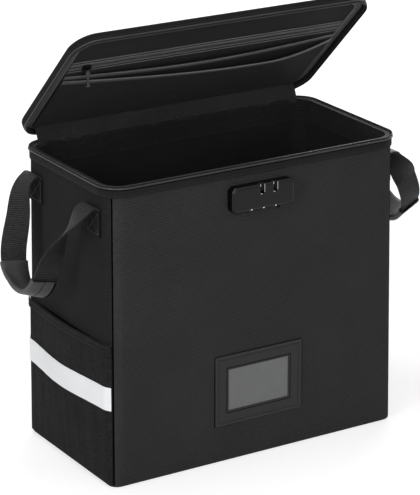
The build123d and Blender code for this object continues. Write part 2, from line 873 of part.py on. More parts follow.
def build_nodes():
    nodes = wall_panels()
    nodes["base_panel"] = base_panel()
    nodes["lining_walls"] = lining_walls()
    nodes["floor_board"] = floor_board()
    nodes["rim_facing"] = rim_facing()
    nodes["rim_binding"] = rim_binding()
    nodes["rim_piping"] = piping(rim_height - piping_radius)
    nodes["zipper_lower"] = zipper_half(rim_height + cloth_gap / 2,
                                        hinge_z - coil_parting / 2 - coil_height)
    nodes["hinge_strip_lower"] = hinge_strip_half(rim_height + cloth_gap - hinge_strip_overlap,
                                                  hinge_z - running_gap)
    nodes["gusset_lower"] = gusset_half(rim_height, hinge_z - running_gap)
    nodes["lock_housing"] = lock_housing()
    nodes["lock_axle"] = lock_axle()
    for number, x in enumerate(dial_places(), 1):
        nodes[f"lock_dial_{number}"] = lock_dial(x)
    nodes["lock_button"] = lock_button()
    nodes["lock_latch_bar"] = lock_latch_bar()
    nodes["lock_back_plate"] = lock_back_plate()
    nodes["lock_screws"] = lock_screws()
    nodes["label_frame"] = label_frame()
    nodes["label_window"] = label_window()
    nodes["side_pocket"] = side_pocket()
    nodes["side_pocket_hem"] = side_pocket_hem()
    nodes["reflective_strip"] = reflective_strip()
    for name, (side, *_) in handles.items():
        nodes[f"{name}_handle_anchors"] = handle_anchors(name)
        nodes[f"{name}_handle_folds"] = handle_folds(name)
        nodes[f"{name}_handle_strap"] = handle_strap(name)
        nodes[f"{name}_handle_grip"] = handle_grip(name)
        nodes[f"zip_slider_{name}"] = zip_slider(side)
        nodes[f"zip_pull_{name}"] = Pos(*zip_pin(side)) * pull_tab(pull_length)
    lid = {
        "lid_shell": lid_shell(),
        "lid_piping": piping(lid_base + piping_radius),
        "zipper_upper": zipper_half(lid_base - cloth_gap / 2 - tape_height,
                                    hinge_z + coil_parting / 2),
        "hinge_strip_upper": hinge_strip_half(hinge_z + running_gap,
                                              lid_base + hinge_strip_overlap),
        "gusset_upper": gusset_half(hinge_z + running_gap, pocket_plane),
        "lid_lining": lid_lining(),
        "lid_zipped_panel": zipped_panel(),
        "lid_pocket_zipper": lid_pocket_zipper(),
        "pocket_slider": pocket_slider(),
        **lid_pockets(),
    }
    for name, shape in lid.items():
        nodes[name] = opened(shape)
    pin = opened(Pos(*pocket_pin())).position
    nodes["pocket_pull"] = Pos(pin) * pull_tab(pocket_pull_length)
    return nodes


os.makedirs("parts", exist_ok=True)
for name, shape in build_nodes().items():
    export_step(shape, f"parts/{name}.step")
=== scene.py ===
import math
import bpy
import bmesh
from mathutils import Matrix, Vector, noise


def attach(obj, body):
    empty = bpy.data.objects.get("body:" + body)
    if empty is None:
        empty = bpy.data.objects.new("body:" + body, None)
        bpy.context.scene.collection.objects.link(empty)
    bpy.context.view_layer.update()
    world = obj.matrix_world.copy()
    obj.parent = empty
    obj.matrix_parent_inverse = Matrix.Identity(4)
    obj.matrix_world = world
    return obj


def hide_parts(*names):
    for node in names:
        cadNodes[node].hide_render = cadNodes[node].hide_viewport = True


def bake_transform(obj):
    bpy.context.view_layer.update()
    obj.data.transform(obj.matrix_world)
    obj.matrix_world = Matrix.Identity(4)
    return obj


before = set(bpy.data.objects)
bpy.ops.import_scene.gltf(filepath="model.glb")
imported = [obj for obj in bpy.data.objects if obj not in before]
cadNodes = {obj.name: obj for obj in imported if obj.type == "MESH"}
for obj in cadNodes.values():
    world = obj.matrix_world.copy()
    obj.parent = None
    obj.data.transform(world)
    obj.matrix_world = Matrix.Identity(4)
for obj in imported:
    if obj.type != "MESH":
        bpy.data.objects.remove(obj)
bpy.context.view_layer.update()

# sizes in metres, as in the frame: x along the front, y into the depth, z up
box = {"width": 0.370, "depth": 0.192, "wallTop": 0.338, "taperTop": 0.328,
       "baseRadius": 0.012, "rimRadius": 0.025, "wall": 0.004}
hinge = {"y": 0.1015, "z": 0.343, "open": math.radians(44.0)}
thread = {"pitch": 0.0034, "length": 0.0024, "thick": 0.00045}
halfX, halfY = box["width"] / 2, box["depth"] / 2
upWay = Vector((0, 0, 1))
lidTurn = (Matrix.Translation((0, hinge["y"], hinge["z"]))
           @ Matrix.Rotation(-hinge["open"], 4, "X")
           @ Matrix.Translation((0, -hinge["y"], -hinge["z"])))
finish = {}  # materials by name, filled further down


def smooth(a, b, value):
    share = min(1.0, max(0.0, (value - a) / (b - a)))
    return share * share * (3 - 2 * share)


def finishPiece(name, bm, looks, body=None, replaced=(), slotName=None, turn=None, sharp=35,
                merged=True):
    if merged:
        bmesh.ops.remove_doubles(bm, verts=bm.verts, dist=1e-6)
    if turn is not None:
        bmesh.ops.transform(bm, matrix=turn, verts=bm.verts)
    mesh = bpy.data.meshes.new(name)
    bm.to_mesh(mesh)
    bm.free()
    dress(mesh, looks, sharp)
    piece = bpy.data.objects.new(name, mesh)
    bpy.context.collection.objects.link(piece)
    if body:
        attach(piece, body)
    if replaced:
        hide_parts(*replaced)
    return piece


def dress(mesh, looks, sharp):
    for look in looks:
        mesh.materials.append(finish[look])
    mesh.polygons.foreach_set("use_smooth", [True] * len(mesh.polygons))
    mesh.set_sharp_from_angle(angle=math.radians(sharp))


def addBox(bm, low, high):
    size = [b - a for a, b in zip(low, high)]
    middle = [(a + b) / 2 for a, b in zip(low, high)]
    return bmesh.ops.create_cube(
        bm, size=1, matrix=Matrix.Translation(middle) @ Matrix.Diagonal((*size, 1)))["verts"]


def roundEdges(bm, edges, offset, segments):
    bmesh.ops.bevel(bm, geom=edges, offset=offset, segments=segments, profile=0.5,
                    affect="EDGES", material=-1)


def softBox(bm, low, high, edge):
    verts = addBox(bm, low, high)
    roundEdges(bm, list({e for v in verts for e in v.link_edges}), edge, 1)


def upright(edge):
    a, b = (v.co for v in edge.verts)
    return abs(a.x - b.x) < 1e-6 and abs(a.y - b.y) < 1e-6


def slab(bm, offset, zLow, zHigh):
    # the rim's plan shape, grown by the offset
    x, y = halfX + offset, halfY + offset
    verts = addBox(bm, (-x, -y, zLow), (x, y, zHigh))
    edges = [e for e in {e for v in verts for e in v.link_edges} if upright(e)]
    roundEdges(bm, edges, box["rimRadius"] + offset, 12)


def flatFace(bm, z, sign):
    # the largest face at that height that looks up (1) or down (-1)
    flat = [f for f in bm.faces
            if f.normal.z * sign > 0.9 and abs(f.calc_center_median().z - z) < 1e-5]
    return max(flat, key=lambda f: f.calc_area())


def pushFace(bm, face, vec):
    # extrudes a face and moves it; the face itself goes along
    made = bmesh.ops.extrude_discrete_faces(bm, faces=[face])["faces"]
    bmesh.ops.translate(bm, vec=vec, verts=made[0].verts[:])
    return made[0]


def hollow(bm, z, sign, wall, floor):
    # sinks the flat face at that height inside a wall, down to the floor
    bmesh.ops.inset_region(bm, faces=[flatFace(bm, z, sign)], thickness=wall,
                           use_even_offset=True)
    pushFace(bm, flatFace(bm, z, sign), (0, 0, floor - z))


def cutRows(bm, axis, places):
    normal = Vector([1 if i == axis else 0 for i in range(3)])
    for place in places:
        bmesh.ops.bisect_plane(bm, geom=bm.verts[:] + bm.edges[:] + bm.faces[:],
                               plane_co=normal * place, plane_no=normal, dist=1e-7)


def steps(low, high, count):
    return [low + (high - low) * (i + 1) / (count + 1) for i in range(count)]


def meshOf(curve):
    # the evaluated mesh of a curve or a text
    carrier = bpy.data.objects.new("carrier", curve)
    bpy.context.collection.objects.link(carrier)
    bpy.context.view_layer.update()
    mesh = bpy.data.meshes.new_from_object(carrier.evaluated_get(
        bpy.context.evaluated_depsgraph_get()))
    bpy.data.objects.remove(carrier)
    return mesh


def rimSpline(gap):
    # the rim's rounded outline as a curve; a gap leaves its back open that far each side
    x, y, r = halfX, halfY, box["rimRadius"]
    k = r * 0.5523  # handle length of a quarter circle
    corners = [((x - r, y), (k, 0)), ((x, y - r), (0, -k)), ((x, -y + r), (0, -k)),
               ((x - r, -y), (-k, 0)), ((-x + r, -y), (-k, 0)), ((-x, -y + r), (0, k)),
               ((-x, y - r), (0, k)), ((-x + r, y), (k, 0))]
    curve = bpy.data.curves.new("path", "CURVE")
    curve.dimensions = "3D"
    spline = curve.splines.new("BEZIER")
    if gap:
        corners = [((gap, y), (k, 0))] + corners + [((-gap, y), (k, 0))]
    spline.bezier_points.add(len(corners) - 1)
    for point, (place, along) in zip(spline.bezier_points, corners):
        point.co = (*place, 0)
        point.handle_left = (place[0] - along[0], place[1] - along[1], 0)
        point.handle_right = (place[0] + along[0], place[1] + along[1], 0)
    spline.use_cyclic_u = gap == 0
    curve.resolution_u = 14
    return curve


def sweepRim(outline, gap=0.0):
    # sweeps an outline of (offset outwards, height) points round the rim as a closed mesh
    curve = rimSpline(gap)
    section = bpy.data.curves.new("section", "CURVE")
    section.dimensions = "2D"
    spline = section.splines.new("POLY")
    spline.points.add(len(outline) - 1)
    for point, (out, high) in zip(spline.points, outline):
        point.co = (-out, high, 0, 1)
    spline.use_cyclic_u = True
    sectionObject = bpy.data.objects.new("section", section)
    bpy.context.collection.objects.link(sectionObject)
    curve.bevel_mode = "OBJECT"
    curve.bevel_object = sectionObject
    curve.use_fill_caps = gap > 0
    mesh = meshOf(curve)
    bpy.data.objects.remove(sectionObject)
    bm = bmesh.new()
    bm.from_mesh(mesh)
    bpy.data.meshes.remove(mesh)
    bmesh.ops.remove_doubles(bm, verts=bm.verts, dist=1e-6)
    bmesh.ops.recalc_face_normals(bm, faces=bm.faces)
    return bm


def roundOutline(low, high, radius, count=2):
    # corner points of a rounded rectangle in (offset, height)
    (x0, y0), (x1, y1) = low, high
    points = []
    for cx, cy, start in ((x1 - radius, y1 - radius, 0), (x0 + radius, y1 - radius, 90),
                          (x0 + radius, y0 + radius, 180), (x1 - radius, y0 + radius, 270)):
        for i in range(count + 1):
            angle = math.radians(start + 90 * i / count)
            points.append((cx + radius * math.cos(angle), cy + radius * math.sin(angle)))
    return points


def ringOutline(middle, radius, count=12):
    angles = [math.radians(360 / count * i) for i in range(count)]
    return [(middle[0] + radius * math.cos(a), middle[1] + radius * math.sin(a)) for a in angles]


def rimWalk(offset, pitch, gap=0.0):
    # evenly spaced places round the rim: point, outward direction, direction along
    x, y, r = halfX + offset, halfY + offset, box["rimRadius"] + offset
    walk = []
    legs = [("line", (-x + r, y), (x - r, y)), ("arc", (x - r, y - r), 90),
            ("line", (x, y - r), (x, -y + r)), ("arc", (x - r, -y + r), 0),
            ("line", (x - r, -y), (-x + r, -y)), ("arc", (-x + r, -y + r), -90),
            ("line", (-x, -y + r), (-x, y - r)), ("arc", (-x + r, y - r), 180)]
    for kind, first, second in legs:
        if kind == "line":
            a, b = Vector((*first, 0)), Vector((*second, 0))
            along = (b - a).normalized()
            out = Vector((-along.y, along.x, 0))
            count = max(1, round((b - a).length / pitch))
            walk += [(a + (b - a) * (i + 0.5) / count, out, along) for i in range(count)]
        else:
            count = max(1, round(r * math.pi / 2 / pitch))
            for i in range(count):
                angle = math.radians(second - 90 * (i + 0.5) / count)
                out = Vector((math.cos(angle), math.sin(angle), 0))
                walk.append((Vector((*first, 0)) + out * r, out, Vector((out.y, -out.x, 0))))
    return [w for w in walk if not (gap and w[0].y > 0 and w[1].y > 0.9 and abs(w[0].x) < gap)]


def rimRows(rows):
    # stitch places round the rim; each row is offset, height, and how far it faces out and up
    return [(point + upWay * z, out * outward + upWay * upward, along)
            for offset, z, outward, upward in rows
            for point, out, along in rimWalk(offset, thread["pitch"])]


def basis(origin, xAxis, yAxis, zAxis, size=(1, 1, 1)):
    turned = Matrix((xAxis * size[0], yAxis * size[1], zAxis * size[2])).transposed().to_4x4()
    turned.translation = origin
    return turned


def beadMesh(columns, rows):
    # a round bead of radius 1, the shape that stitches and coil turns are squeezed from
    bm = bmesh.new()
    bmesh.ops.create_uvsphere(bm, u_segments=columns, v_segments=rows, radius=1)
    mesh = bpy.data.meshes.new("bead")
    bm.to_mesh(mesh)
    bm.free()
    return mesh


stitchBead, coilBead = beadMesh(6, 4), beadMesh(8, 4)


def scatter(bead, placed):
    # one mesh of the bead at each placed matrix
    bm = bmesh.new()
    for matrix in placed:
        copy = bead.copy()
        copy.transform(matrix)
        bm.from_mesh(copy)
        bpy.data.meshes.remove(copy)
    return bm


def stitches(name, places, body, turn=None, length=thread["length"], thick=thread["thick"],
             look="threadCord"):
    # thread at (point, normal, along) places, each stitch a slim bead half sunk in the cloth
    size = (thick / 2, thick / 2.4, length / 2)
    bm = scatter(stitchBead, [basis(point, normal.cross(along), normal, along, size)
                              for point, normal, along in places])
    finishPiece(name, bm, [look], body, turn=turn, sharp=60, merged=False)


def seam(a, b, normal, pitch=thread["pitch"]):
    # stitch places on the straight line from a to b
    a, b, normal = Vector(a), Vector(b), Vector(normal)
    along = (b - a).normalized()
    count = max(1, int((b - a).length / pitch))
    return [(a + (b - a) * (i + 0.5) / count, normal, along) for i in range(count)]


# nodes and finishes
def addNode(tree, kind, values=None, **settings):
    made = tree.nodes.new(kind)
    for key, value in settings.items():
        setattr(made, key, value)
    for key, value in (values or {}).items():
        if isinstance(value, bpy.types.NodeSocket):
            tree.links.new(value, made.inputs[key])
        else:
            made.inputs[key].default_value = value
    return made


def calc(tree, operation, first, second=0.0, third=0.0, clamp=False):
    return addNode(tree, "ShaderNodeMath", {0: first, 1: second, 2: third},
                   operation=operation, use_clamp=clamp).outputs[0]


def splitPlace(tree, place):
    return addNode(tree, "ShaderNodeSeparateXYZ", {0: place}).outputs


def objectPlace(tree):
    return addNode(tree, "ShaderNodeTexCoord").outputs["Object"]


def newGroup(name, inputs, outputs):
    group = bpy.data.node_groups.new(name, "ShaderNodeTree")
    for label, kind, value in inputs:
        socket = group.interface.new_socket(label, in_out="INPUT", socket_type=kind)
        if value is not None:
            socket.default_value = value
    for label in outputs:
        group.interface.new_socket(label, in_out="OUTPUT", socket_type="NodeSocketFloat")
    given, result = (group.nodes.new("NodeGroup" + end) for end in ("Input", "Output"))
    return group, given.outputs, result.inputs


def weaveGroup():
    # over and under threads; Height stands up at each crossing, Shade varies thread by thread
    group, given, result = newGroup("threadWeave", [
        ("Vector", "NodeSocketVector", None), ("Warp", "NodeSocketFloat", 900.0),
        ("Weft", "NodeSocketFloat", 900.0), ("Slant", "NodeSocketFloat", 0.0)],
        ["Height", "Shade"])
    parts = splitPlace(group, given["Vector"])
    across = calc(group, "MULTIPLY", parts[0], given["Warp"])
    along = calc(group, "MULTIPLY", parts[1], given["Weft"])
    across = calc(group, "MULTIPLY_ADD", along, given["Slant"], across)
    waves = [calc(group, "SINE", calc(group, "MULTIPLY", part, 2 * math.pi))
             for part in (across, along)]
    crossing = calc(group, "MULTIPLY", *waves)
    group.links.new(calc(group, "MULTIPLY_ADD", crossing, 0.5, 0.5), result["Height"])
    cell = addNode(group, "ShaderNodeCombineXYZ", {0: calc(group, "FLOOR", across),
                                                   1: calc(group, "FLOOR", along)}).outputs[0]
    tone = addNode(group, "ShaderNodeTexWhiteNoise", {"Vector": cell},
                   noise_dimensions="2D").outputs["Value"]
    group.links.new(tone, result["Shade"])
    return group


def wearGroup():
    # soft blotches and fine lint: Cloud is broad, Lint is sparse specks
    group, given, result = newGroup("clothWear", [
        ("Vector", "NodeSocketVector", None), ("Size", "NodeSocketFloat", 18.0)],
        ["Cloud", "Lint"])
    cloud = addNode(group, "ShaderNodeTexNoise", {
        "Vector": given["Vector"], "Scale": given["Size"], "Detail": 4.0, "Roughness": 0.6})
    lint = addNode(group, "ShaderNodeTexNoise", {"Vector": given["Vector"], "Scale": 2600.0,
                                                 "Detail": 1.0})
    group.links.new(cloud.outputs["Fac"], result["Cloud"])
    specks = calc(group, "MULTIPLY", calc(group, "SUBTRACT", lint.outputs["Fac"], 0.66), 9.0,
                  clamp=True)
    group.links.new(specks, result["Lint"])
    return group


weave, wear = weaveGroup(), wearGroup()


def startMaterial(name, colour, rough, metal=0.0):
    material = bpy.data.materials.new(name)
    material.use_nodes = True
    material.diffuse_color = (*colour, 1)
    shader = material.node_tree.nodes["Principled BSDF"]
    setSockets(shader, {"Base Color": (*colour, 1), "Roughness": rough, "Metallic": metal})
    return material, material.node_tree, shader


def setSockets(node, values):
    for label, value in values.items():
        node.inputs[label].default_value = value


def surfacePlace(tree, kind):
    # flat coordinates on the surface: round the walls, over the lid, or along a strap's UV
    if kind == "strap":
        return addNode(tree, "ShaderNodeUVMap", uv_map="cloth").outputs[0]
    place = objectPlace(tree)
    if kind == "lid":
        return addNode(tree, "ShaderNodeMapping", {"Vector": place, "Rotation":
                       (hinge["open"], 0, 0)}, vector_type="POINT").outputs[0]
    parts = splitPlace(tree, place)
    around = calc(tree, "ADD", parts[0], parts[1])
    return addNode(tree, "ShaderNodeCombineXYZ", {0: around, 1: parts[2], 2: 0.0}).outputs[0]


def tintBetween(tree, shader, share, colour, spread, lift=0.0):
    # base colour from a darker to a lighter tone of the colour
    low = [c * (1 - spread) for c in colour]
    high = [c * (1 + spread) + lift for c in colour]
    mixed = addNode(tree, "ShaderNodeMix", {0: share, 6: (*low, 1), 7: (*high, 1)},
                    data_type="RGBA").outputs[2]
    tree.links.new(mixed, shader.inputs["Base Color"])


def bumpBy(tree, shader, height):
    bump = addNode(tree, "ShaderNodeBump", {"Height": height, "Strength": 1.0, "Distance": 1.0})
    tree.links.new(bump.outputs[0], shader.inputs["Normal"])


def roughenBy(tree, shader, worn, rough, vary):
    # gloss that varies with the blotches, round its middle value
    tree.links.new(calc(tree, "MULTIPLY_ADD", worn.outputs["Cloud"], vary, rough - vary / 2),
                   shader.inputs["Roughness"])


def ribMask(tree, place, margin):
    # 1 on the broad front and back walls, falling to 0 in the smooth bands by the seams
    inside = calc(tree, "SUBTRACT", halfX - margin, calc(tree, "ABSOLUTE",
                                                         splitPlace(tree, place)[0]))
    return calc(tree, "MULTIPLY", inside, 900.0, clamp=True)


def edgeMask(tree, place, margin):
    # 1 in a band of that width beside the four corner seams on the end walls
    depth = calc(tree, "ABSOLUTE", splitPlace(tree, place)[1])
    return calc(tree, "MULTIPLY", calc(tree, "SUBTRACT", depth, halfY - margin), 500.0,
                clamp=True)


def allOver(tree, place, margin):
    return 1.0  # ribs all over, as on webbing


# how much each effect darkens or lightens the cloth, and how uneven its gloss is
clothMix = {"thread": 0.45, "cloud": 0.75, "lint": 0.5, "ridge": 1.5, "band": 0.05,
            "uneven": 0.16, "lift": 0.002}


def cloth(name, colour, kind="wall", warp=900.0, weft=900.0, slant=0.0, depth=0.00025, tone=0.35,
          rough=0.78, sheen=0.03, gloss=0.02, ribs=None):
    mix = clothMix
    material, tree, shader = startMaterial(name, colour, rough)
    flat, place = surfacePlace(tree, kind), objectPlace(tree)
    threads = addNode(tree, "ShaderNodeGroup", node_tree=weave)
    tree.links.new(flat, threads.inputs["Vector"])
    setSockets(threads, {"Warp": warp, "Weft": weft, "Slant": slant})
    worn = addNode(tree, "ShaderNodeGroup", node_tree=wear)
    tree.links.new(place, worn.inputs["Vector"])
    height = calc(tree, "MULTIPLY", threads.outputs["Height"], depth)
    shade = calc(tree, "MULTIPLY_ADD", threads.outputs["Shade"], mix["thread"],
                 calc(tree, "MULTIPLY", worn.outputs["Cloud"], mix["cloud"]))
    shade = calc(tree, "MULTIPLY_ADD", worn.outputs["Lint"], mix["lint"], shade)
    if ribs:
        column, row = splitPlace(tree, flat)[:2]
        turns = 2 * math.pi / ribs["pitch"]
        wave = calc(tree, "SINE", calc(tree, "MULTIPLY", row, turns))
        knots = calc(tree, "SINE", calc(tree, "MULTIPLY", column, turns * ribs["knots"]))
        wave = calc(tree, "MULTIPLY", wave, calc(tree, "MULTIPLY_ADD", knots, 0.3, 0.7))
        keep = ribs["mask"](tree, place, ribs["margin"])
        ridge = calc(tree, "MULTIPLY", calc(tree, "MULTIPLY_ADD", wave, 0.5, 0.5), keep)
        height = calc(tree, "MULTIPLY_ADD", ridge, ribs["depth"], height)
        shade = calc(tree, "SUBTRACT", shade, ribs["drop"])
        shade = calc(tree, "MULTIPLY_ADD", ridge, mix["ridge"], shade)
        smoothBand = calc(tree, "SUBTRACT", 1.0, keep)
        shade = calc(tree, "MULTIPLY_ADD", smoothBand, ribs["drop"] + mix["band"], shade)
    tintBetween(tree, shader, shade, colour, tone, mix["lift"])
    roughenBy(tree, shader, worn, rough, mix["uneven"])
    bumpBy(tree, shader, height)
    setSockets(shader, {"Sheen Weight": sheen, "Sheen Roughness": 0.45,
                        "Specular IOR Level": gloss})
    return material


def grained(name, colour, rough, metal=0.0, grain=1800.0, depth=0.00006, vary=0.12, coat=0.0):
    # moulded, cast or rolled finish with a fine grain and slightly uneven gloss
    material, tree, shader = startMaterial(name, colour, rough, metal)
    place = objectPlace(tree)
    fine = addNode(tree, "ShaderNodeTexNoise", {"Vector": place, "Scale": grain, "Detail": 3.0})
    worn = addNode(tree, "ShaderNodeGroup", node_tree=wear)
    tree.links.new(place, worn.inputs["Vector"])
    worn.inputs["Size"].default_value = 60.0
    bumpBy(tree, shader, calc(tree, "MULTIPLY", fine.outputs["Fac"], depth))
    tintBetween(tree, shader, worn.outputs["Cloud"], colour, vary)
    roughenBy(tree, shader, worn, rough, vary)
    setSockets(shader, {"Specular IOR Level": 0.5 if metal else 0.24, "Coat Weight": coat,
                        "Coat Roughness": 0.15})
    return material


# warp and weft are threads per metre, depth and pitch are metres
clothLooks = {
    "ribbedCloth": {"colour": (0.0310, 0.0310, 0.0316), "warp": 1100, "weft": 1100,
                    "ribs": {"pitch": 0.0023, "margin": 0.0125, "depth": 0.0004, "knots": 0.9,
                             "mask": ribMask, "drop": 0.70}},
    "plainCloth": {"colour": (0.0148, 0.0148, 0.0152), "warp": 1100, "weft": 1100,
                   "depth": 0.0002, "sheen": 0.02,
                   "ribs": {"pitch": 0.0026, "margin": 0.016, "depth": 0.0003, "knots": 0.9,
                            "mask": edgeMask, "drop": 0.55}},
    "seamShade": {"colour": (0.0012, 0.0012, 0.0012), "sheen": 0.0},
    "anchorCloth": {"colour": (0.0070, 0.0070, 0.0073), "kind": "strap", "warp": 620,
                    "weft": 820, "slant": 0.5, "depth": 0.0004, "gloss": 0.03},
    "lidCloth": {"colour": (0.010, 0.010, 0.0105), "kind": "lid", "warp": 1000, "weft": 1000},
    "liningCloth": {"colour": (0.012, 0.012, 0.0125), "warp": 1500, "weft": 1500,
                    "depth": 0.00012, "rough": 0.62, "sheen": 0.05},
    "lidLiningCloth": {"colour": (0.0130, 0.0130, 0.0135), "kind": "lid", "warp": 1500,
                       "weft": 1500, "depth": 0.00012, "rough": 0.6, "sheen": 0.05},
    "bindingCloth": {"colour": (0.0155, 0.0155, 0.0160), "warp": 700, "weft": 1600,
                     "depth": 0.0003, "rough": 0.6, "gloss": 0.03},
    "hemCloth": {"colour": (0.030, 0.030, 0.031), "kind": "lid", "warp": 700, "weft": 1600,
                 "depth": 0.0003, "rough": 0.5, "sheen": 0.15, "gloss": 0.3},
    # light grey stands for the painted highlight along the folded edges of hems, bands and the
    # lid's inner edge
    "foldHighlightTape": {"colour": (0.125, 0.125, 0.127), "kind": "lid", "depth": 0.0002,
                 "rough": 0.45, "sheen": 0.2, "gloss": 0.4},
    "pocketCloth": {"colour": (0.0160, 0.0160, 0.0165), "warp": 640, "weft": 640,
                    "depth": 0.0004, "tone": 0.6, "sheen": 0.02},
    "webbingCloth": {"colour": (0.0165, 0.0165, 0.0170), "kind": "strap", "warp": 420,
                     "weft": 430, "slant": 0.5, "depth": 0.0004, "tone": 0.7, "rough": 0.42,
                     "gloss": 0.08,
                     "ribs": {"pitch": 0.0023, "margin": 0.0, "depth": 0.0004, "knots": 0.9,
                              "mask": allOver, "drop": 0.80}},
    "gripCloth": {"colour": (0.0180, 0.0180, 0.0185), "kind": "strap", "warp": 1100,
                  "weft": 1500, "depth": 0.0002, "rough": 0.38, "sheen": 0.05, "gloss": 0.45},
    "gussetCloth": {"colour": (0.018, 0.018, 0.0185), "warp": 800, "weft": 800,
                    "depth": 0.0003, "tone": 0.6, "rough": 0.5, "sheen": 0.1, "gloss": 0.1},
    "facingCloth": {"colour": (0.0115, 0.0115, 0.0120), "warp": 520, "weft": 520,
                    "depth": 0.0006, "tone": 0.6, "rough": 0.6, "sheen": 0.05, "gloss": 0.04},
    "tapeCloth": {"colour": (0.013, 0.013, 0.014), "warp": 1200, "weft": 2400,
                  "depth": 0.0002},
    "meshCloth": {"colour": (0.0095, 0.0095, 0.0100), "kind": "lid", "warp": 430,
                  "weft": 430, "depth": 0.0005, "rough": 0.6, "sheen": 0.08},
}
solidLooks = {
    "pipingVinyl": {"colour": (0.030, 0.030, 0.031), "rough": 0.38, "coat": 0.08},
    "nylonCoil": {"colour": (0.045, 0.045, 0.047), "rough": 0.26, "coat": 0.3},
    "darkMetal": {"colour": (0.055, 0.055, 0.058), "rough": 0.34, "metal": 1.0,
                  "grain": 4000, "depth": 0.00002},
    "lockPlastic": {"colour": (0.0015, 0.0015, 0.0017), "rough": 0.22, "grain": 5000,
                    "depth": 0.00002},
    "dialPlastic": {"colour": (0.02, 0.02, 0.021), "rough": 0.4},
    "dialInk": {"colour": (0.78, 0.78, 0.76), "rough": 0.5},
    "steel": {"colour": (0.55, 0.55, 0.56), "rough": 0.28, "metal": 1.0, "grain": 3000,
              "depth": 0.00002},
    "labelVinyl": {"colour": (0.0165, 0.0165, 0.0170), "rough": 0.55, "grain": 1500,
                   "depth": 0.0002, "vary": 0.2},
    "windowFilm": {"colour": (0.138, 0.140, 0.140), "rough": 0.3, "grain": 300,
                   "depth": 0.00003},
    "brightTape": {"colour": (0.84, 0.85, 0.86), "rough": 0.42, "grain": 3200, "vary": 0.02},
    "threadCord": {"colour": (0.024, 0.024, 0.026), "rough": 0.55, "grain": 6000},
    "paleThread": {"colour": (0.075, 0.075, 0.078), "rough": 0.5, "grain": 6000},
}
finish.update({name: cloth(name, **values) for name, values in clothLooks.items()})
finish.update({name: grained(name, **values) for name, values in solidLooks.items()})


def openMesh(material, count):
    # fine netting: a grid of small holes through the cloth, so many to the metre
    tree = material.node_tree
    parts = splitPlace(tree, surfacePlace(tree, "lid"))
    waves = [calc(tree, "ABSOLUTE", calc(tree, "SINE", calc(
        tree, "MULTIPLY", parts[i], 2 * math.pi * count))) for i in (0, 1)]
    solid = calc(tree, "MULTIPLY", calc(tree, "SUBTRACT", 1.62, calc(tree, "ADD", *waves)), 6.0,
                 clamp=True)
    tree.links.new(solid, tree.nodes["Principled BSDF"].inputs["Alpha"])


openMesh(finish["meshCloth"], 430)
print("finishes made")


# the box
coverForm = {"rows": 30, "columns": 20, "depthRows": 10, "straightX": 0.155, "straightY": 0.066,
             "grooveHalf": 0.0009, "grooveDepth": 0.0022, "puff": 0.0009, "mostPuff": 0.0004,
             "fadeIn": (0.0, 0.04), "fadeOut": (0.27, 0.32), "bottomEdge": 0.0028,
             "openX": 0.030, "openLow": 0.2903, "openHigh": 0.3103}
cornerSeam = {"low": 0.012, "high": 0.322, "count": 92, "aside": 0.170}
liningForm = {"offset": -0.0042, "inner": 0.0052, "low": 0.0042, "floor": 0.0043, "high": 0.3378,
              "wall": 0.001, "swell": 0.0007}


def cornerRadius(z):
    share = (min(z, box["taperTop"]) - box["wall"]) / (box["taperTop"] - box["wall"])
    return box["baseRadius"] + (box["rimRadius"] - box["baseRadius"]) * max(0.0, share)


def cornerPlace(co):
    # way from the centre of the rim's corner circle to a point in that corner
    cx, cy = halfX - box["rimRadius"], halfY - box["rimRadius"]
    if abs(co.x) < cx - 1e-6 or abs(co.y) < cy - 1e-6:
        return None
    return Vector((abs(co.x) - cx, abs(co.y) - cy))


def taperCorners(bm):
    # tightens the corners towards the base, as the boards are bent
    for vert in bm.verts:
        way = cornerPlace(vert.co)
        if way is None:
            continue
        radius = cornerRadius(vert.co.z)
        reach = way.length - box["rimRadius"] + radius
        way = way.normalized() * max(reach, 0.001)
        vert.co.x = math.copysign(halfX - radius + way.x, vert.co.x)
        vert.co.y = math.copysign(halfY - radius + way.y, vert.co.y)


def softWalls(bm):
    # slight hollows and swells of cloth over board, none at the corners, rim and base
    form = coverForm
    for vert in bm.verts:
        x, y, z = vert.co
        front = abs(abs(y) - halfY) < 1e-5 and abs(x) < halfX - box["rimRadius"] + 0.001
        aside = abs(abs(x) - halfX) < 1e-5 and abs(y) < halfY - box["rimRadius"] + 0.001
        if not (front or aside) or z < 0.006:
            continue
        swell = noise.noise(Vector((x * 14, y * 14, z * 9))) + 0.4 * noise.noise(
            Vector((x * 45, y * 45, z * 22)))
        fade = smooth(*form["fadeIn"], z) * (1 - smooth(*form["fadeOut"], z))
        fade *= 1 - smooth(0.5, 1.0, abs(x) / halfX if front else abs(y) / halfY)
        push = min(form["puff"] * (swell - 0.45) * fade, form["mostPuff"])
        vert.co.y += math.copysign(push, y) if front else 0.0
        vert.co.x += math.copysign(push, x) if aside else 0.0


def cutOpening(bm):
    # the hole behind the lock, through the front wall
    form = coverForm
    opening = [f for f in bm.faces if all(abs(v.co.x) < form["openX"] + 1e-6 and v.co.y < -0.09
               and form["openLow"] - 1e-6 < v.co.z < form["openHigh"] + 1e-6 for v in f.verts)]
    bmesh.ops.delete(bm, geom=opening, context="FACES")
    bmesh.ops.bridge_loops(bm, edges=[e for e in bm.edges if e.is_boundary])


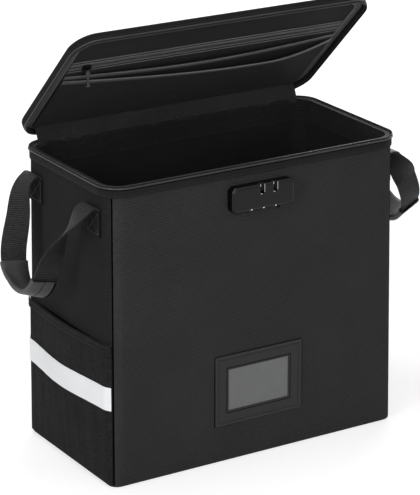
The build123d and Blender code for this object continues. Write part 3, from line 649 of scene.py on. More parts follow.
def sinkSeams(bm):
    # a groove down each corner; gives the faces that are in it
    ridge = []
    for edge in bm.edges:
        ways = [cornerPlace(v.co) for v in edge.verts]
        if None in ways or not all(abs(w.x - w.y) < 1e-5 for w in ways):
            continue
        if all((halfX - abs(v.co.x)) < 0.0076 and v.co.z > 0.002 for v in edge.verts):
            ridge.append(edge)
    roundEdges(bm, ridge, coverForm["grooveHalf"], 2)
    sunken = set()
    deep = coverForm["grooveDepth"] * 0.7071
    for vert in bm.verts:
        inset = (1 - math.sqrt(0.5)) * cornerRadius(vert.co.z)
        if abs((halfX - abs(vert.co.x)) - (halfY - abs(vert.co.y))) < 1e-5 and abs(
                halfX - abs(vert.co.x) - inset) < 0.0004 and vert.co.z > 0.003:
            vert.co.x -= math.copysign(deep, vert.co.x)
            vert.co.y -= math.copysign(deep, vert.co.y)
            sunken.update(vert.link_faces)
    return sunken


def caseCover():
    form = coverForm
    bm = bmesh.new()
    slab(bm, 0, 0.0, box["wallTop"])
    roundEdges(bm, flatFace(bm, 0, -1).edges[:], form["bottomEdge"], 3)
    hollow(bm, box["wallTop"], 1, box["wall"], box["wall"])
    cutRows(bm, 2, steps(0.004, box["wallTop"], form["rows"]) + [form["openLow"],
                                                                 form["openHigh"]])
    cutRows(bm, 0, steps(-form["straightX"], form["straightX"], form["columns"])
            + [-form["openX"], form["openX"]])
    cutRows(bm, 1, steps(-form["straightY"], form["straightY"], form["depthRows"]))
    cutOpening(bm)
    taperCorners(bm)
    sunken = sinkSeams(bm)
    softWalls(bm)
    # faces sunk in the corner grooves take seamShade, near black: painted shade in the grooves
    for face in bm.faces:
        middle = face.calc_center_median()
        broad = halfY - abs(middle.y) < halfX - abs(middle.x)
        face.material_index = 2 if face in sunken else 0 if broad else 1
    finishPiece("caseCover", bm, ["ribbedCloth", "plainCloth", "seamShade"], "case",
                ["front_panel", "back_panel", "left_side_panel", "right_side_panel",
                 "base_panel"], "case_fabric", sharp=50)


def cornerStitches():
    # topstitching beside the four corner seams
    places, form = [], cornerSeam
    for sx, sy in ((-1, -1), (-1, 1), (1, -1), (1, 1)):
        for i in range(form["count"]):
            z = form["low"] + (form["high"] - form["low"]) * i / form["count"]
            radius = cornerRadius(z)
            angle = math.radians(45 + form["aside"] / radius)
            out = Vector((sx * math.cos(angle), sy * math.sin(angle), 0))
            middle = Vector((sx * (halfX - radius), sy * (halfY - radius), z))
            places.append((middle + out * radius, out, upWay))
    stitches("cornerStitching", places, "case")


def liningSleeve():
    form = liningForm
    bm = bmesh.new()
    slab(bm, form["offset"], form["low"], form["high"])
    hollow(bm, form["high"], 1, form["wall"], form["floor"])
    cutRows(bm, 2, steps(0.0045, form["high"], 20))
    cutRows(bm, 0, steps(-coverForm["straightX"], coverForm["straightX"], 16))
    cutRows(bm, 1, steps(-coverForm["straightY"], coverForm["straightY"], 8))
    taperCorners(bm)
    for vert in bm.verts:
        x, y, z = vert.co
        aside = abs(abs(x) - halfX + form["inner"]) < 1e-5
        inner = aside or abs(abs(y) - halfY + form["inner"]) < 1e-5
        if inner and 0.01 < z < 0.31:
            swell = form["swell"] * (0.5 + 0.5 * noise.noise(Vector((x * 20, y * 20, z * 12))))
            if aside:
                vert.co.x -= math.copysign(swell, x)
            else:
                vert.co.y -= math.copysign(swell, y)
    finishPiece("liningSleeve", bm, ["liningCloth"], "case", ["lining_walls"], "lining")


# outlines are (offset outwards, height) points
rimForm = {
    "facing": ((-0.0064, 0.3138), (-0.0054, 0.3378)),
    "binding": [(0.0003, 0.328), (0.0009, 0.328), (0.0013, 0.3284), (0.0014, 0.3292),
                (0.0014, 0.3366), (0.0012, 0.3374), (0.001, 0.3378), (0.0008, 0.3379),
                (0.0008, 0.3393), (0.0005, 0.3398), (-0.0001, 0.34), (-0.0055, 0.34),
                (-0.0061, 0.3398), (-0.0064, 0.3392), (-0.0064, 0.3386), (-0.006, 0.3381),
                (0.0003, 0.3381)],
    "cord": (0.0019, 0.3389), "cordRadius": 0.0011,
    # the groove ring is near black: painted shade under the piping
    "groove": ((0.0008, 0.3365), (0.0016, 0.3377)),
    "stitches": ((0.0014, 0.3306, 1, 0), (-0.0064, 0.3156, -1, 0), (-0.0045, 0.34, 0, 1))}


def rimPieces():
    # facing, binding, piping and their stitching round the mouth, and a dark ring of painted shade
    # under the piping
    form = rimForm
    for name, outline, look, node, slotName, sharp in (
            ("rimFacing", roundOutline(*form["facing"], 0.0004), "facingCloth", ["rim_facing"],
             "lining", 35),
            ("rimBinding", form["binding"], "bindingCloth", ["rim_binding"], "binding", 50),
            ("rimPiping", ringOutline(form["cord"], form["cordRadius"]), "pipingVinyl",
             ["rim_piping"], "piping", 35),
            ("rimShadeLine", roundOutline(*form["groove"], 0.0002), "seamShade", (), None, 35)):
        finishPiece(name, sweepRim(outline), [look], "case", node, slotName, sharp=sharp)
    stitches("rimStitching", rimRows(form["stitches"]), "case")


zipForm = {"tapeIn": 0.0009, "tapeOut": 0.0017, "bandHigh": 0.0019, "tapeEnd": 0.121,
           "toothOut": 0.0013, "toothEnd": 0.1205, "pitch": 0.0021,
           "tooth": (0.00062, 0.00072, 0.00075)}


def zipperHalf(name, tapeLow, toothZ, body, node, turn=None):
    # woven tape on edge with a row of nylon coil turns on its free side
    form = zipForm
    tape = roundOutline((form["tapeIn"], tapeLow), (form["tapeOut"], tapeLow + form["bandHigh"]),
                        0.0003)
    finishPiece(name + "Tape", sweepRim(tape, form["tapeEnd"]), ["tapeCloth"], body, [node],
                "zip_tape", turn=turn)
    bm = scatter(coilBead, [
        basis(point + upWay * toothZ, upWay, along, out, form["tooth"])
        for point, out, along in rimWalk(form["toothOut"], form["pitch"], form["toothEnd"])])
    finishPiece(name + "Coil", bm, ["nylonCoil"], body, turn=turn, merged=False)


caseCover()
cornerStitches()
liningSleeve()
rimPieces()
zipperHalf("lowerZip", 0.3401, 0.3416, "case", "zipper_lower")
print("box made")


# the lid, made shut and turned open
lidForm = {
    "low": 0.3482, "top": 0.357, "ceiling": 0.353, "edge": 0.004, "offset": 0.003, "wall": 0.004,
    "back": 0.099, "rise": 0.0007, "straightX": 0.158, "straightY": 0.068,
    "lip": ((-0.001, 0.346), (0.0008, 0.3483)), "cord": (0.0019, 0.3471), "cordRadius": 0.0011,
    "band": [(-0.0013, 0.3507), (-0.0013, 0.3516), (-0.0098, 0.3516), (-0.0102, 0.3512),
             (-0.0098, 0.3508), (-0.009, 0.3506), (-0.003, 0.3504)],
    "ridge": (-0.0101, 0.3509), "ridgeRadius": 0.0006,
    "stitches": ((-0.0088, 0.3506, 0, -1), (-0.0055, 0.3571, 0, 1), (0.003, 0.3496, 1, 0))}
lidLiningForm = {"offset": -0.0013, "low": 0.3516, "high": 0.3528, "swell": 0.0011}


def lidY(reach):
    return lidForm["back"] - reach


def lidPiece(name, bm, look, replaced=(), slotName=None, **settings):
    return finishPiece(name, bm, [look], "lid", replaced, slotName, turn=lidTurn, **settings)


def lidShell():
    form = lidForm
    bm = bmesh.new()
    slab(bm, form["offset"], form["low"], form["top"])
    roundEdges(bm, flatFace(bm, form["top"], 1).edges[:], form["edge"], 5)
    hollow(bm, form["low"], -1, form["wall"], form["ceiling"])
    cutRows(bm, 0, steps(-form["straightX"], form["straightX"], 22))
    cutRows(bm, 1, steps(-form["straightY"], form["straightY"], 12))
    for vert in bm.verts:
        if vert.co.z > form["top"] - 1e-5:
            x, y = vert.co.x, vert.co.y
            rise = 0.5 + noise.noise(Vector((x * 15, y * 15, 3.0)))
            vert.co.z += form["rise"] * rise * (1 - (x / halfX) ** 2) * (1 - (y / halfY) ** 2)
    lidPiece("lidShell", bm, "lidCloth", ["lid_shell"], "side_fabric")
    for name, outline, look, node, slotName in (
            ("lidLip", roundOutline(*form["lip"], 0.0005), "bindingCloth", (), None),
            ("lidPiping", ringOutline(form["cord"], form["cordRadius"]), "pipingVinyl",
             ["lid_piping"], "piping"),
            ("lidInnerBinding", form["band"], "hemCloth", (), None),
            # the inner edge is a light cord of painted highlight along the band's fold
            ("lidInnerEdgeHighlight", ringOutline(form["ridge"], form["ridgeRadius"], 8), "foldHighlightTape", (),
             None)):
        lidPiece(name, sweepRim(outline), look, node, slotName)
    stitches("lidStitching", rimRows(form["stitches"]), "lid", turn=lidTurn)


def lidLining():
    form = lidLiningForm
    bm = bmesh.new()
    slab(bm, form["offset"], form["low"], form["high"])
    cutRows(bm, 0, steps(-lidForm["straightX"], lidForm["straightX"], 30))
    cutRows(bm, 1, steps(-lidForm["straightY"], lidForm["straightY"], 14))
    for vert in bm.verts:
        if vert.co.z < form["low"] + 0.0004:
            x, y = vert.co.x, vert.co.y
            fade = (1 - smooth(0.14, 0.17, abs(x))) * (1 - smooth(0.05, 0.085, abs(y)))
            vert.co.z -= form["swell"] * fade * (0.45 + noise.noise(Vector((x * 22, y * 40, 1.0))))
    lidPiece("lidLining", bm, "lidLiningCloth", ["lid_lining"], "lining")


# low is where a pocket's foot is sewn down, as a reach from the lid's back
pocketSheets = {
    "half": 0.173, "low": 0.012,
    "zipped": {"mouth": 0.1308, "face": 0.3505, "thick": 0.0009, "wave": 0.0004,
               "flat": (0.348, 0.121)},
    "document": {"mouth": 0.119, "face": 0.3502, "thick": 0.0011, "wave": 0.0009,
                 "gape": 0.0075, "fullest": 0.0, "look": "lidLiningCloth", "slot": "lining",
                 "flat": (0.350, 0.112), "behind": "zippedPanel"},
    "mesh": {"mouth": 0.112, "face": 0.3487, "thick": 0.0009, "wave": 0.0009,
             "gape": 0.016, "fullest": 0.075, "look": "meshCloth", "slot": "mesh",
             "flat": (0.350, 0.104), "behind": "documentPocket"}}
# hem and edge lie over a pocket's mouth: start and end past it, drop, thickness, rows; the light
# edge is a painted highlight along the hem's fold
mouthForms = {"Hem": ("hemCloth", -0.005, 0.0005, 0.0013, 0.0009, 3),
              "Edge": ("foldHighlightTape", -0.0002, 0.0008, 0.0016, 0.0012, 2)}
mouthStitches = {"count": 100, "half": 0.17, "below": 0.004, "drop": 0.0023}


def lidSheet(name, look, replaced, slotName, low, far, high, thick, rows=14, wave=0.0):
    # sheet lying against the lid between two reaches from its back; high gives its face
    half = pocketSheets["half"]
    bm = bmesh.new()
    bmesh.ops.create_grid(bm, x_segments=48, y_segments=rows, size=0.5)
    for vert in bm.verts:
        x, share = vert.co.x * 2 * half, vert.co.y + 0.5
        reach = low + (far - low) * share
        ripple = wave * noise.noise(Vector((x * 38, reach * 60, len(name)))) * math.sin(
            math.pi * min(1, share + 0.15))
        vert.co = Vector((x, lidY(reach), high(x, reach) + ripple))
    bmesh.ops.recalc_face_normals(bm, faces=bm.faces)
    if bm.faces[0].normal.z > 0:
        bmesh.ops.reverse_faces(bm, faces=bm.faces)
    bmesh.ops.solidify(bm, geom=bm.faces[:], thickness=thick)
    return lidPiece(name, bm, look, replaced, slotName)


def pocketFace(form):
    # height of a pocket's face at x and reach; the mouth gapes most at its fullest place
    def high(x, reach):
        half, fullest, low = pocketSheets["half"], form["fullest"], pocketSheets["low"]
        share = (x - fullest) / ((half if x > fullest else -half) - fullest)
        gape = form["gape"] * math.cos(share * math.pi / 2)
        return form["face"] - gape / (form["mouth"] - low) * (reach - low)
    return high


def lidPockets():
    low, form = pocketSheets["low"], pocketSheets["zipped"]
    panel = lidSheet("zippedPanel", "lidLiningCloth", ["lid_zipped_panel"], "lining", low,
                     form["mouth"], lambda x, reach: pocketSheets["zipped"]["face"],
                     form["thick"], wave=form["wave"])
    rows = []
    for kind in ("document", "mesh"):
        form = pocketSheets[kind]
        high, mouth = pocketFace(form), form["mouth"]
        sheet = lidSheet(kind + "Pocket", form["look"], [f"lid_{kind}_pocket"], form["slot"], low,
                         mouth, high, form["thick"], wave=form["wave"])
        for part, (look, start, end, drop, thick, count) in mouthForms.items():
            node = [f"lid_{kind}_hem"] if part == "Hem" else ()
            lidSheet(kind + part, look, node, "binding", mouth + start, mouth + end,
                     lambda x, reach, high=high, drop=drop: high(x, reach) - drop, thick, count)
        sewn, reach = mouthStitches, mouth - mouthStitches["below"]
        for i in range(sewn["count"]):
            x = sewn["half"] * (2 * (i + 0.5) / sewn["count"] - 1)
            rows.append((Vector((x, lidY(reach), high(x, reach) - sewn["drop"])), -upWay,
                         Vector((1, 0, 0))))
    stitches("pocketStitching", rows, "lid", turn=lidTurn)


# each band is (reach from, reach to); z is low and high
zipBand = {"half": 0.173, "tapes": ((0.1312, 0.1352), (0.1368, 0.1409)), "tapeZ": (0.3504, 0.3513),
           "edges": ((0.1262, 0.1271), (0.1309, 0.1317), (0.1404, 0.1412), (0.1450, 0.1459)),
           "edgeZ": (0.3500, 0.3511), "end": 0.172, "sewn": (0.1322, 0.1400), "sewnZ": 0.3504,
           "turns": 165, "coil": 0.136, "coilZ": 0.3503, "turn": (0.0008, 0.0011, 0.0008)}


def pocketZipper():
    # zipped band across the lid: two tapes with the coil between them, and light strips of painted
    # highlight along their edges
    form = zipBand
    for name, look, bands, (zLow, zHigh), node, slotName in (
            ("pocketZipTape", "hemCloth", form["tapes"], form["tapeZ"], ["lid_pocket_zipper"],
             "zip_tape"),
            ("pocketZipHighlightEdges", "foldHighlightTape", form["edges"], form["edgeZ"], (), None)):
        bm = bmesh.new()
        for low, high in bands:
            softBox(bm, (-form["half"], lidY(high), zLow), (form["half"], lidY(low), zHigh),
                    0.0003)
        lidPiece(name, bm, look, node, slotName, merged=False)
    end = form["end"]
    bm = scatter(coilBead, [
        basis(Vector((end * (2 * (i + 0.5) / form["turns"] - 1), lidY(form["coil"]),
                      form["coilZ"])),
              Vector((0.958, 0.287, 0)), Vector((0, 1, 0)), upWay, form["turn"])
        for i in range(form["turns"])])
    lidPiece("pocketZipCoil", bm, "nylonCoil", merged=False)
    rows = []
    for reach in form["sewn"]:
        y, z = lidY(reach), form["sewnZ"]
        rows += seam((-end, y, z), (end, y, z), -upWay)
    stitches("pocketZipStitching", rows, "lid", turn=lidTurn)


lidShell()
lidLining()
lidPockets()
pocketZipper()
zipperHalf("upperZip", 0.3440, 0.3444, "lid", "zipper_upper", turn=lidTurn)
print("lid made")


# cloth hinge at the back; routes are (y, z) points, the high ones as on the shut lid
hingeForms = {
    "hingeStrip": {"width": 0.210, "thick": 0.0009, "wrinkle": 0.0004, "look": "bindingCloth",
                   "slot": "binding", "replaces": ["hinge_strip_lower", "hinge_strip_upper"],
                   "low": [(0.0997, 0.3312), (0.0998, 0.339), (0.1012, 0.343)],
                   "high": [(0.0998, 0.347), (0.0997, 0.3548)],
                   "flat": (0.210, 0.026), "rests": ["caseCover", "lidShell"]},
    "gusset": {"width": 0.340, "thick": 0.0007, "wrinkle": 0.0019, "look": "gussetCloth",
               "slot": "lining", "replaces": ["gusset_lower", "gusset_upper"],
               "low": [(0.0900, 0.336), (0.0901, 0.3405), (0.0915, 0.345)],
               "high": [(0.0901, 0.3440), (0.0903, 0.3508)],
               "flat": (0.344, 0.026), "rests": ["liningSleeve", "lidLining"]}}


def openedPlace(y, z):
    turned = lidTurn @ Vector((0, y, z))
    return (turned.y, turned.z)


def hingeCloth(name, form):
    # strip of cloth along x over its route, bent as the lid turns
    route = form["low"] + [openedPlace(*place) for place in form["high"]]
    bm = bmesh.new()
    bmesh.ops.create_grid(bm, x_segments=160, y_segments=14, size=0.5)
    for vert in bm.verts:
        x, share = vert.co.x * form["width"], vert.co.y + 0.5
        spot = share * (len(route) - 1)
        i = min(int(spot), len(route) - 2)
        a, b = Vector(route[i]), Vector(route[i + 1])
        y, z = a + (b - a) * (spot - i)
        fold = form["wrinkle"] * math.sin(math.pi * share) * (
            noise.noise(Vector((x * 70, share * 2, 5)))
            + 0.5 * noise.noise(Vector((x * 190, share * 3, 9))))
        corner = 0.003 * smooth(0.158, 0.172, abs(x))  # follows the rounded corner of the rim
        vert.co = Vector((x, y + fold - corner, z + fold * 0.4))
    bmesh.ops.solidify(bm, geom=bm.faces[:], thickness=form["thick"])
    bmesh.ops.recalc_face_normals(bm, faces=bm.faces)
    for vert in bm.verts:
        vert.co.x = max(-form["width"] / 2, min(form["width"] / 2, vert.co.x))
    piece = finishPiece(name, bm, [form["look"]], replaced=form["replaces"],
                        slotName=form["slot"], sharp=180, merged=False)
    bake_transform(piece)


for hingeName, hingeForm in hingeForms.items():
    hingeCloth(hingeName, hingeForm)
print("cloth hinge made")


# the lock; liners are boxes in the slots that take the pulls, x from a slot's middle
lockForm = {"dialX": (-0.0154, 0.0, 0.0154), "dialY": -0.0999, "dialZ": 0.2938, "radius": 0.0048,
            "digit": 0.0034, "digitHigh": 0.00006, "slotX": (-0.0019, 0.0147),
            "liners": (((0.0023, -0.1067, 0.3092), (0.0028, -0.1016, 0.3188)),
                       ((-0.0028, -0.1065, 0.3162), (-0.0022, -0.1046, 0.3190)),
                       ((-0.0027, -0.1066, 0.3077), (-0.0002, -0.1040, 0.3083))),
            "markY": -0.1029, "markZ": 0.2936, "markReach": 0.0036, "markTurn": 28,
            "mark": (0.0011, 0.0010, 0.00015)}
cadLooks = {
    "lockPlastic": ("lock_housing", "lock_button"),
    "dialPlastic": ("lock_dial_1", "lock_dial_2", "lock_dial_3"),
    "steel": ("lock_axle", "lock_back_plate", "lock_screws", "lock_latch_bar"),
    "darkMetal": ("pocket_slider", "pocket_pull", "zip_slider_left", "zip_slider_right",
                  "zip_pull_left", "zip_pull_right"),
    "liningCloth": ("floor_board",)}


def digitMesh(digit):
    form = lockForm
    text = bpy.data.curves.new("digit", "FONT")
    text.body = str(digit)
    text.size = form["digit"]
    text.align_x, text.align_y = "CENTER", "CENTER"
    text.extrude = form["digitHigh"]
    text.resolution_u = 2
    return meshOf(text)


def dialNumbers():
    # white numbers 0 to 9 round each wheel, between its notches
    form = lockForm
    for index, x in enumerate(form["dialX"], 1):
        bm = bmesh.new()
        for digit in range(10):
            mesh = digitMesh(digit)
            angle = math.radians(36 * digit + 18)
            out = Vector((0, math.cos(angle), math.sin(angle)))
            up = Vector((0, -math.sin(angle), math.cos(angle)))
            spot = Vector((x, form["dialY"], form["dialZ"])) + out * form["radius"]
            mesh.transform(basis(spot, up.cross(out), up, out))
            bm.from_mesh(mesh)
            bpy.data.meshes.remove(mesh)
        finishPiece(f"dialNumbers{index}", bm, ["dialInk"], f"lock_dial_{index}", merged=False,
                    sharp=30)


def slotLiners():
    # bright metal cheeks in the two slots
    bm = bmesh.new()
    for middle in lockForm["slotX"]:
        for low, high in lockForm["liners"]:
            softBox(bm, (middle + low[0], *low[1:]), (middle + high[0], *high[1:]), 0.0001)
    finishPiece("slotLiners", bm, ["steel"], "case", merged=False)


def indexMarks():
    # white marks on the lower edge of the housing, one above each wheel
    form = lockForm
    angle = math.radians(form["markTurn"])
    out = Vector((0, -math.cos(angle), -math.sin(angle)))
    up = Vector((0, -math.sin(angle), math.cos(angle)))
    bm = scatter(coilBead, [basis(Vector((x, form["markY"], form["markZ"]))
                                  + out * form["markReach"], up.cross(out), up, out, form["mark"])
                            for x in form["dialX"]])
    finishPiece("indexMarks", bm, ["dialInk"], "case", merged=False)


dialNumbers()
slotLiners()
indexMarks()
for lookName, nodeNames in cadLooks.items():
    for nodeName in nodeNames:
        cadMesh = cadNodes[nodeName].data
        cadMesh.materials.clear()
        dress(cadMesh, [lookName], 28)
print("lock made")


# the label holder; its lines are (distance from the window, width, height over the frame, look):
# the dark ones are painted shade, in the seam groove round the window and round the frame's edge,
# and the lighter bead is a painted highlight on the frame's outer fold
labelForm = {"width": 0.112, "height": 0.082, "middle": 0.085, "windowWidth": 0.078,
             "windowHeight": 0.048, "thick": 0.0022, "fold": 0.0042, "sink": 0.0010,
             "foldDip": 0.0005, "film": ((-0.0495, -0.0972, 0.0505), (0.0495, -0.0966, 0.1195)),
             "outerSewn": 0.0028, "innerSewn": -0.0030, "pitch": 0.0030, "stitch": 0.0022}
labelLines = {"labelGrooveShade": (0.0030, 0.0009, 0.00010, "seamShade"),
              "labelFoldHighlight": (0.0160, 0.0008, 0.00025, "pipingVinyl"),
              "labelShade": (0.0177, 0.0007, -0.0015, "seamShade")}


def labelFrame(front, side, tall):
    form = labelForm
    middle = form["middle"]
    windowSide, windowTall = form["windowWidth"] / 2, form["windowHeight"] / 2
    bm = bmesh.new()
    addBox(bm, (-side, front, middle - tall), (side, -halfY - 0.0004, middle + tall))
    face = min(bm.faces, key=lambda f: f.calc_center_median().y)
    back = max(bm.faces, key=lambda f: f.calc_center_median().y)
    bmesh.ops.delete(bm, geom=[back], context="FACES_ONLY")
    bmesh.ops.inset_region(bm, faces=[face], thickness=form["fold"], use_even_offset=True)
    step = face.edges[:]
    bmesh.ops.inset_region(bm, faces=[face], thickness=side - form["fold"] - windowSide,
                           use_even_offset=True)
    for vert in face.verts:
        vert.co.x = math.copysign(windowSide, vert.co.x)
        vert.co.z = middle + math.copysign(windowTall, vert.co.z - middle)
    hole = pushFace(bm, face, (0, form["sink"], 0))
    bmesh.ops.delete(bm, geom=[hole], context="FACES")
    roundEdges(bm, [e for e in step if e.is_valid], 0.0006, 2)
    for vert in bm.verts:
        ring = max(abs(vert.co.x) - side, abs(vert.co.z - middle) - tall)
        if abs(ring + form["fold"]) < 0.0001 and vert.co.y < front + 1e-5:
            vert.co.y += form["foldDip"]
    outer = [e for e in bm.edges if len(e.link_faces) == 2 and all(
        abs(v.co.y - front) < 1e-6 for v in e.verts) and e.calc_face_angle(0) > 1.2]
    roundEdges(bm, outer, 0.0004, 2)
    finishPiece("labelFrame", bm, ["labelVinyl"], "case", ["label_frame"], "label")


def labelHolder():
    form = labelForm
    middle, front = form["middle"], -halfY - form["thick"]
    side, tall = form["width"] / 2, form["height"] / 2
    windowSide, windowTall = form["windowWidth"] / 2, form["windowHeight"] / 2
    labelFrame(front, side, tall)
    bm = bmesh.new()
    softBox(bm, *form["film"], 0.0002)
    finishPiece("labelFilm", bm, ["windowFilm"], "case", ["label_window"], "window")
    rows = []
    for x, z, closed in ((side - form["outerSewn"], tall - form["outerSewn"], False),
                         (windowSide - form["innerSewn"], windowTall - form["innerSewn"], True)):
        corners = [(-x, z), (-x, -z), (x, -z), (x, z)] + ([(-x, z)] if closed else [])
        for (ax, az), (bx, bz) in zip(corners, corners[1:]):
            rows += seam((ax, front, middle + az), (bx, front, middle + bz), (0, -1, 0),
                         form["pitch"])
    stitches("labelStitching", rows, "case", length=form["stitch"])
    for name, (out, wide, high, look) in labelLines.items():
        bm = bmesh.new()
        x, z = windowSide + out, windowTall + out
        for (x0, z0), (x1, z1) in (((-x, -z), (x, -z + wide)), ((-x, z - wide), (x, z)),
                                   ((-x, -z + wide), (-x + wide, z - wide)),
                                   ((x - wide, -z + wide), (x, z - wide))):
            addBox(bm, (x0, front - high, middle + z0),
                   (x1, max(front, front - high) + 0.0003, middle + z1))
        finishPiece(name, bm, [look], "case", merged=False)


labelHolder()
print("label holder made")


# the side pocket
pocketForm = {"low": 0.0045, "top": 0.164, "sheet": 0.0015, "bulge": 0.0075, "mouth": 0.005,
              "fullest": 0.105, "lift": 0.0003, "stripLow": 0.0903, "stripHigh": 0.1168,
              "hemLow": 0.155, "reach": 0.985, "flat": (0.222, 0.164),
              "stripFlat": (0.222, 0.0275), "shadeHalfY": 0.084, "bandHigh": 0.010,
              "sewn": (0.1572, 0.1620), "stitches": 66, "sewnReach": 0.96}


def pocketPlace(side, z, height):
    # point on the pocket: side runs from one corner seam (-1) to the other (1)
    form = pocketForm
    radius = cornerRadius(z)
    straight = halfY - radius
    run = straight + radius * math.pi / 4
    rise = min(1.0, (z - 0.004) / (form["fullest"] - 0.004))
    fall = max(0.0, (z - form["fullest"]) / (form["top"] - form["fullest"]))
    full = form["bulge"] * math.sin(rise * math.pi / 2)
    full -= (form["bulge"] - form["mouth"]) * fall ** 2
    off = height + full * math.cos(side * math.pi / 2) ** 2
    along = abs(side) * run
    angle = max(0.0, along - straight) / radius
    y = min(along, straight) + (radius + off) * math.sin(angle)
    x = radius * (1 - math.cos(angle)) - off * math.cos(angle) - halfX
    return Vector((x, math.copysign(y, side), z))


def pocketSheet(name, look, low, high, lift, thick, replaced, slotName, rows, crease):
    bm = bmesh.new()
    bmesh.ops.create_grid(bm, x_segments=64, y_segments=rows, size=0.5)
    for vert in bm.verts:
        side = vert.co.x * 2 * pocketForm["reach"]
        z = low + (high - low) * (vert.co.y + 0.5)
        pucker = noise.noise(Vector((side * 7, z * 12, 2.0))) + 0.5 * noise.noise(
            Vector((side * 26, z * 20, 7.0)))
        vert.co = pocketPlace(side, z, lift + max(0.0, crease * (0.4 + pucker))
                              * (1 - abs(side) ** 6))
    bmesh.ops.recalc_face_normals(bm, faces=bm.faces)
    if bm.faces[0].normal.dot(Vector((1, 0, 0))) < 0:
        bmesh.ops.reverse_faces(bm, faces=bm.faces)
    bmesh.ops.solidify(bm, geom=bm.faces[:], thickness=thick)
    return finishPiece(name, bm, [look], "case", replaced, slotName)


def sidePocket():
    form = pocketForm
    top, outer = form["top"], form["lift"] + form["sheet"] + 0.0011
    body = pocketSheet("sidePocket", "pocketCloth", form["low"], top, form["lift"],
                       form["sheet"], ["side_pocket"], "pocket", 40, 0.0009)
    pocketSheet("pocketHem", "pocketCloth", form["hemLow"], top + 0.0004, outer, 0.0009,
                ["side_pocket_hem"], "binding", 4, 0.0003)
    strip = pocketSheet("brightStrip", "brightTape", form["stripLow"], form["stripHigh"],
                        outer - 0.0002, 0.0005, ["reflective_strip"], "reflective", 8, 0.0003)
    bm = bmesh.new()  # dark strip inside the pocket's mouth: painted shade, where the mouth falls into shadow
    softBox(bm, (-halfX - 0.0016, -form["shadeHalfY"], top - form["bandHigh"]),
            (-halfX + 0.0004, form["shadeHalfY"], top - 0.0004), 0.0002)
    finishPiece("pocketMouthShade", bm, ["seamShade"], "case")
    rows = []
    for z in form["sewn"]:
        for i in range(form["stitches"]):
            side = form["sewnReach"] * (2 * (i + 0.5) / form["stitches"] - 1)
            a, b = (pocketPlace(s, z, outer + 0.0012) for s in (side, side + 0.005))
            along = (b - a).normalized()
            rows.append((a, upWay.cross(along), along))
    stitches("pocketHemStitching", rows, "case")


sidePocket()
print("side pocket made")


# the handles; a route's points are shares of the reach, the spread and the drop
handleForm = {"width": 0.028, "thick": 0.0016, "length": 0.275, "spread": 0.064,
              "anchorTop": 0.312, "anchorLength": 0.029, "foldLength": 0.03, "axisReach": 0.009,
              "axisZ": 0.309, "foldRise": 0.003, "stitch": 0.0020, "stitchThick": 0.0008,
              "stitchPitch": 0.0026, "sewnHalf": 0.0115, "sewnLow": 0.0025, "sewnHigh": 0.003,
              "rearRoute": ((0.10, 0.985, -0.03), (0.50, 0.86, 0.31), (0.90, 0.62, 0.76),
                            (0.99, 0.25, 0.97))}
gripForm = {"half": 0.035, "halfWidth": 0.0158, "thick": 0.0025, "fuller": 0.0005,
            "flare": 0.0013, "hem": 0.0004, "seam": 0.0011, "sheet": 0.0009,
            "uvWidth": 0.07, "uvLength": 0.09}
handleSides = {
    "left": {"sign": -1, "reach": 0.047, "drop": 0.102, "lean": 1.2, "way": -1,
             "front": 0.26, "rear": 0.42,
             "frontRoute": ((0.10, 0.985, -0.03), (0.62, 0.76, 0.31), (0.94, 0.55, 0.76),
                            (0.99, 0.23, 0.97))},
    "right": {"sign": 1, "reach": 0.064, "drop": 0.094, "lean": 0.7, "way": 1,
              "front": 0.18, "rear": 0.22, "frontRoute": handleForm["rearRoute"]}}


def smoothLine(points, startWay, endWay, rounds=80):
    # even curve through points; gives a function from a share of it to (point, direction)
    points = [Vector(p) for p in points]
    gaps = [(b - a).length for a, b in zip(points, points[1:])]
    ways = [Vector(startWay).normalized()] + [
        (c - a).normalized() for a, c in zip(points, points[2:])] + [Vector(endWay).normalized()]
    for _ in range(rounds):
        for i in range(1, len(points) - 1):
            g, h = gaps[i - 1], gaps[i]
            before, after = points[i] - points[i - 1], points[i + 1] - points[i]
            pull = 3 * (before / g ** 2 + after / h ** 2)
            ways[i] = (pull - ways[i - 1] / g - ways[i + 1] / h) / (2 / g + 2 / h)
    total = sum(gaps)

    def at(share):
        spot = min(max(share, 0.0), 1.0) * total
        i = 0
        while i < len(gaps) - 1 and spot > gaps[i]:
            spot -= gaps[i]
            i += 1
        g = gaps[i]
        t = spot / g
        a, b, m, n = points[i], points[i + 1], ways[i] * g, ways[i + 1] * g
        place = (a * (2 * t ** 3 - 3 * t ** 2 + 1) + m * (t ** 3 - 2 * t ** 2 + t)
                 + b * (3 * t ** 2 - 2 * t ** 3) + n * (t ** 3 - t ** 2))
        way = (a * (6 * t * t - 6 * t) + m * (3 * t * t - 4 * t + 1)
               + b * (6 * t - 6 * t * t) + n * (3 * t * t - 2 * t))
        return place, way.normalized()
    return at


def handleLine(side):
    form, hand = handleForm, handleSides[side]
    sign, reach = hand["sign"], hand["reach"]

    def place(across, spread, drop):
        out = form["axisReach"] + (reach - form["axisReach"]) * across
        return (sign * (halfX + out), form["spread"] * spread, form["axisZ"] - hand["drop"] * drop)
    front = [place(a, -s, d) for a, s, d in hand["frontRoute"]]
    rear = [place(a, s, d) for a, s, d in reversed(form["rearRoute"])]
    lean = hand["lean"]
    return smoothLine(front + [place(1, 0, 1)] + rear, (sign * lean, 0, -1),
                      (-sign * lean, 0, 1))


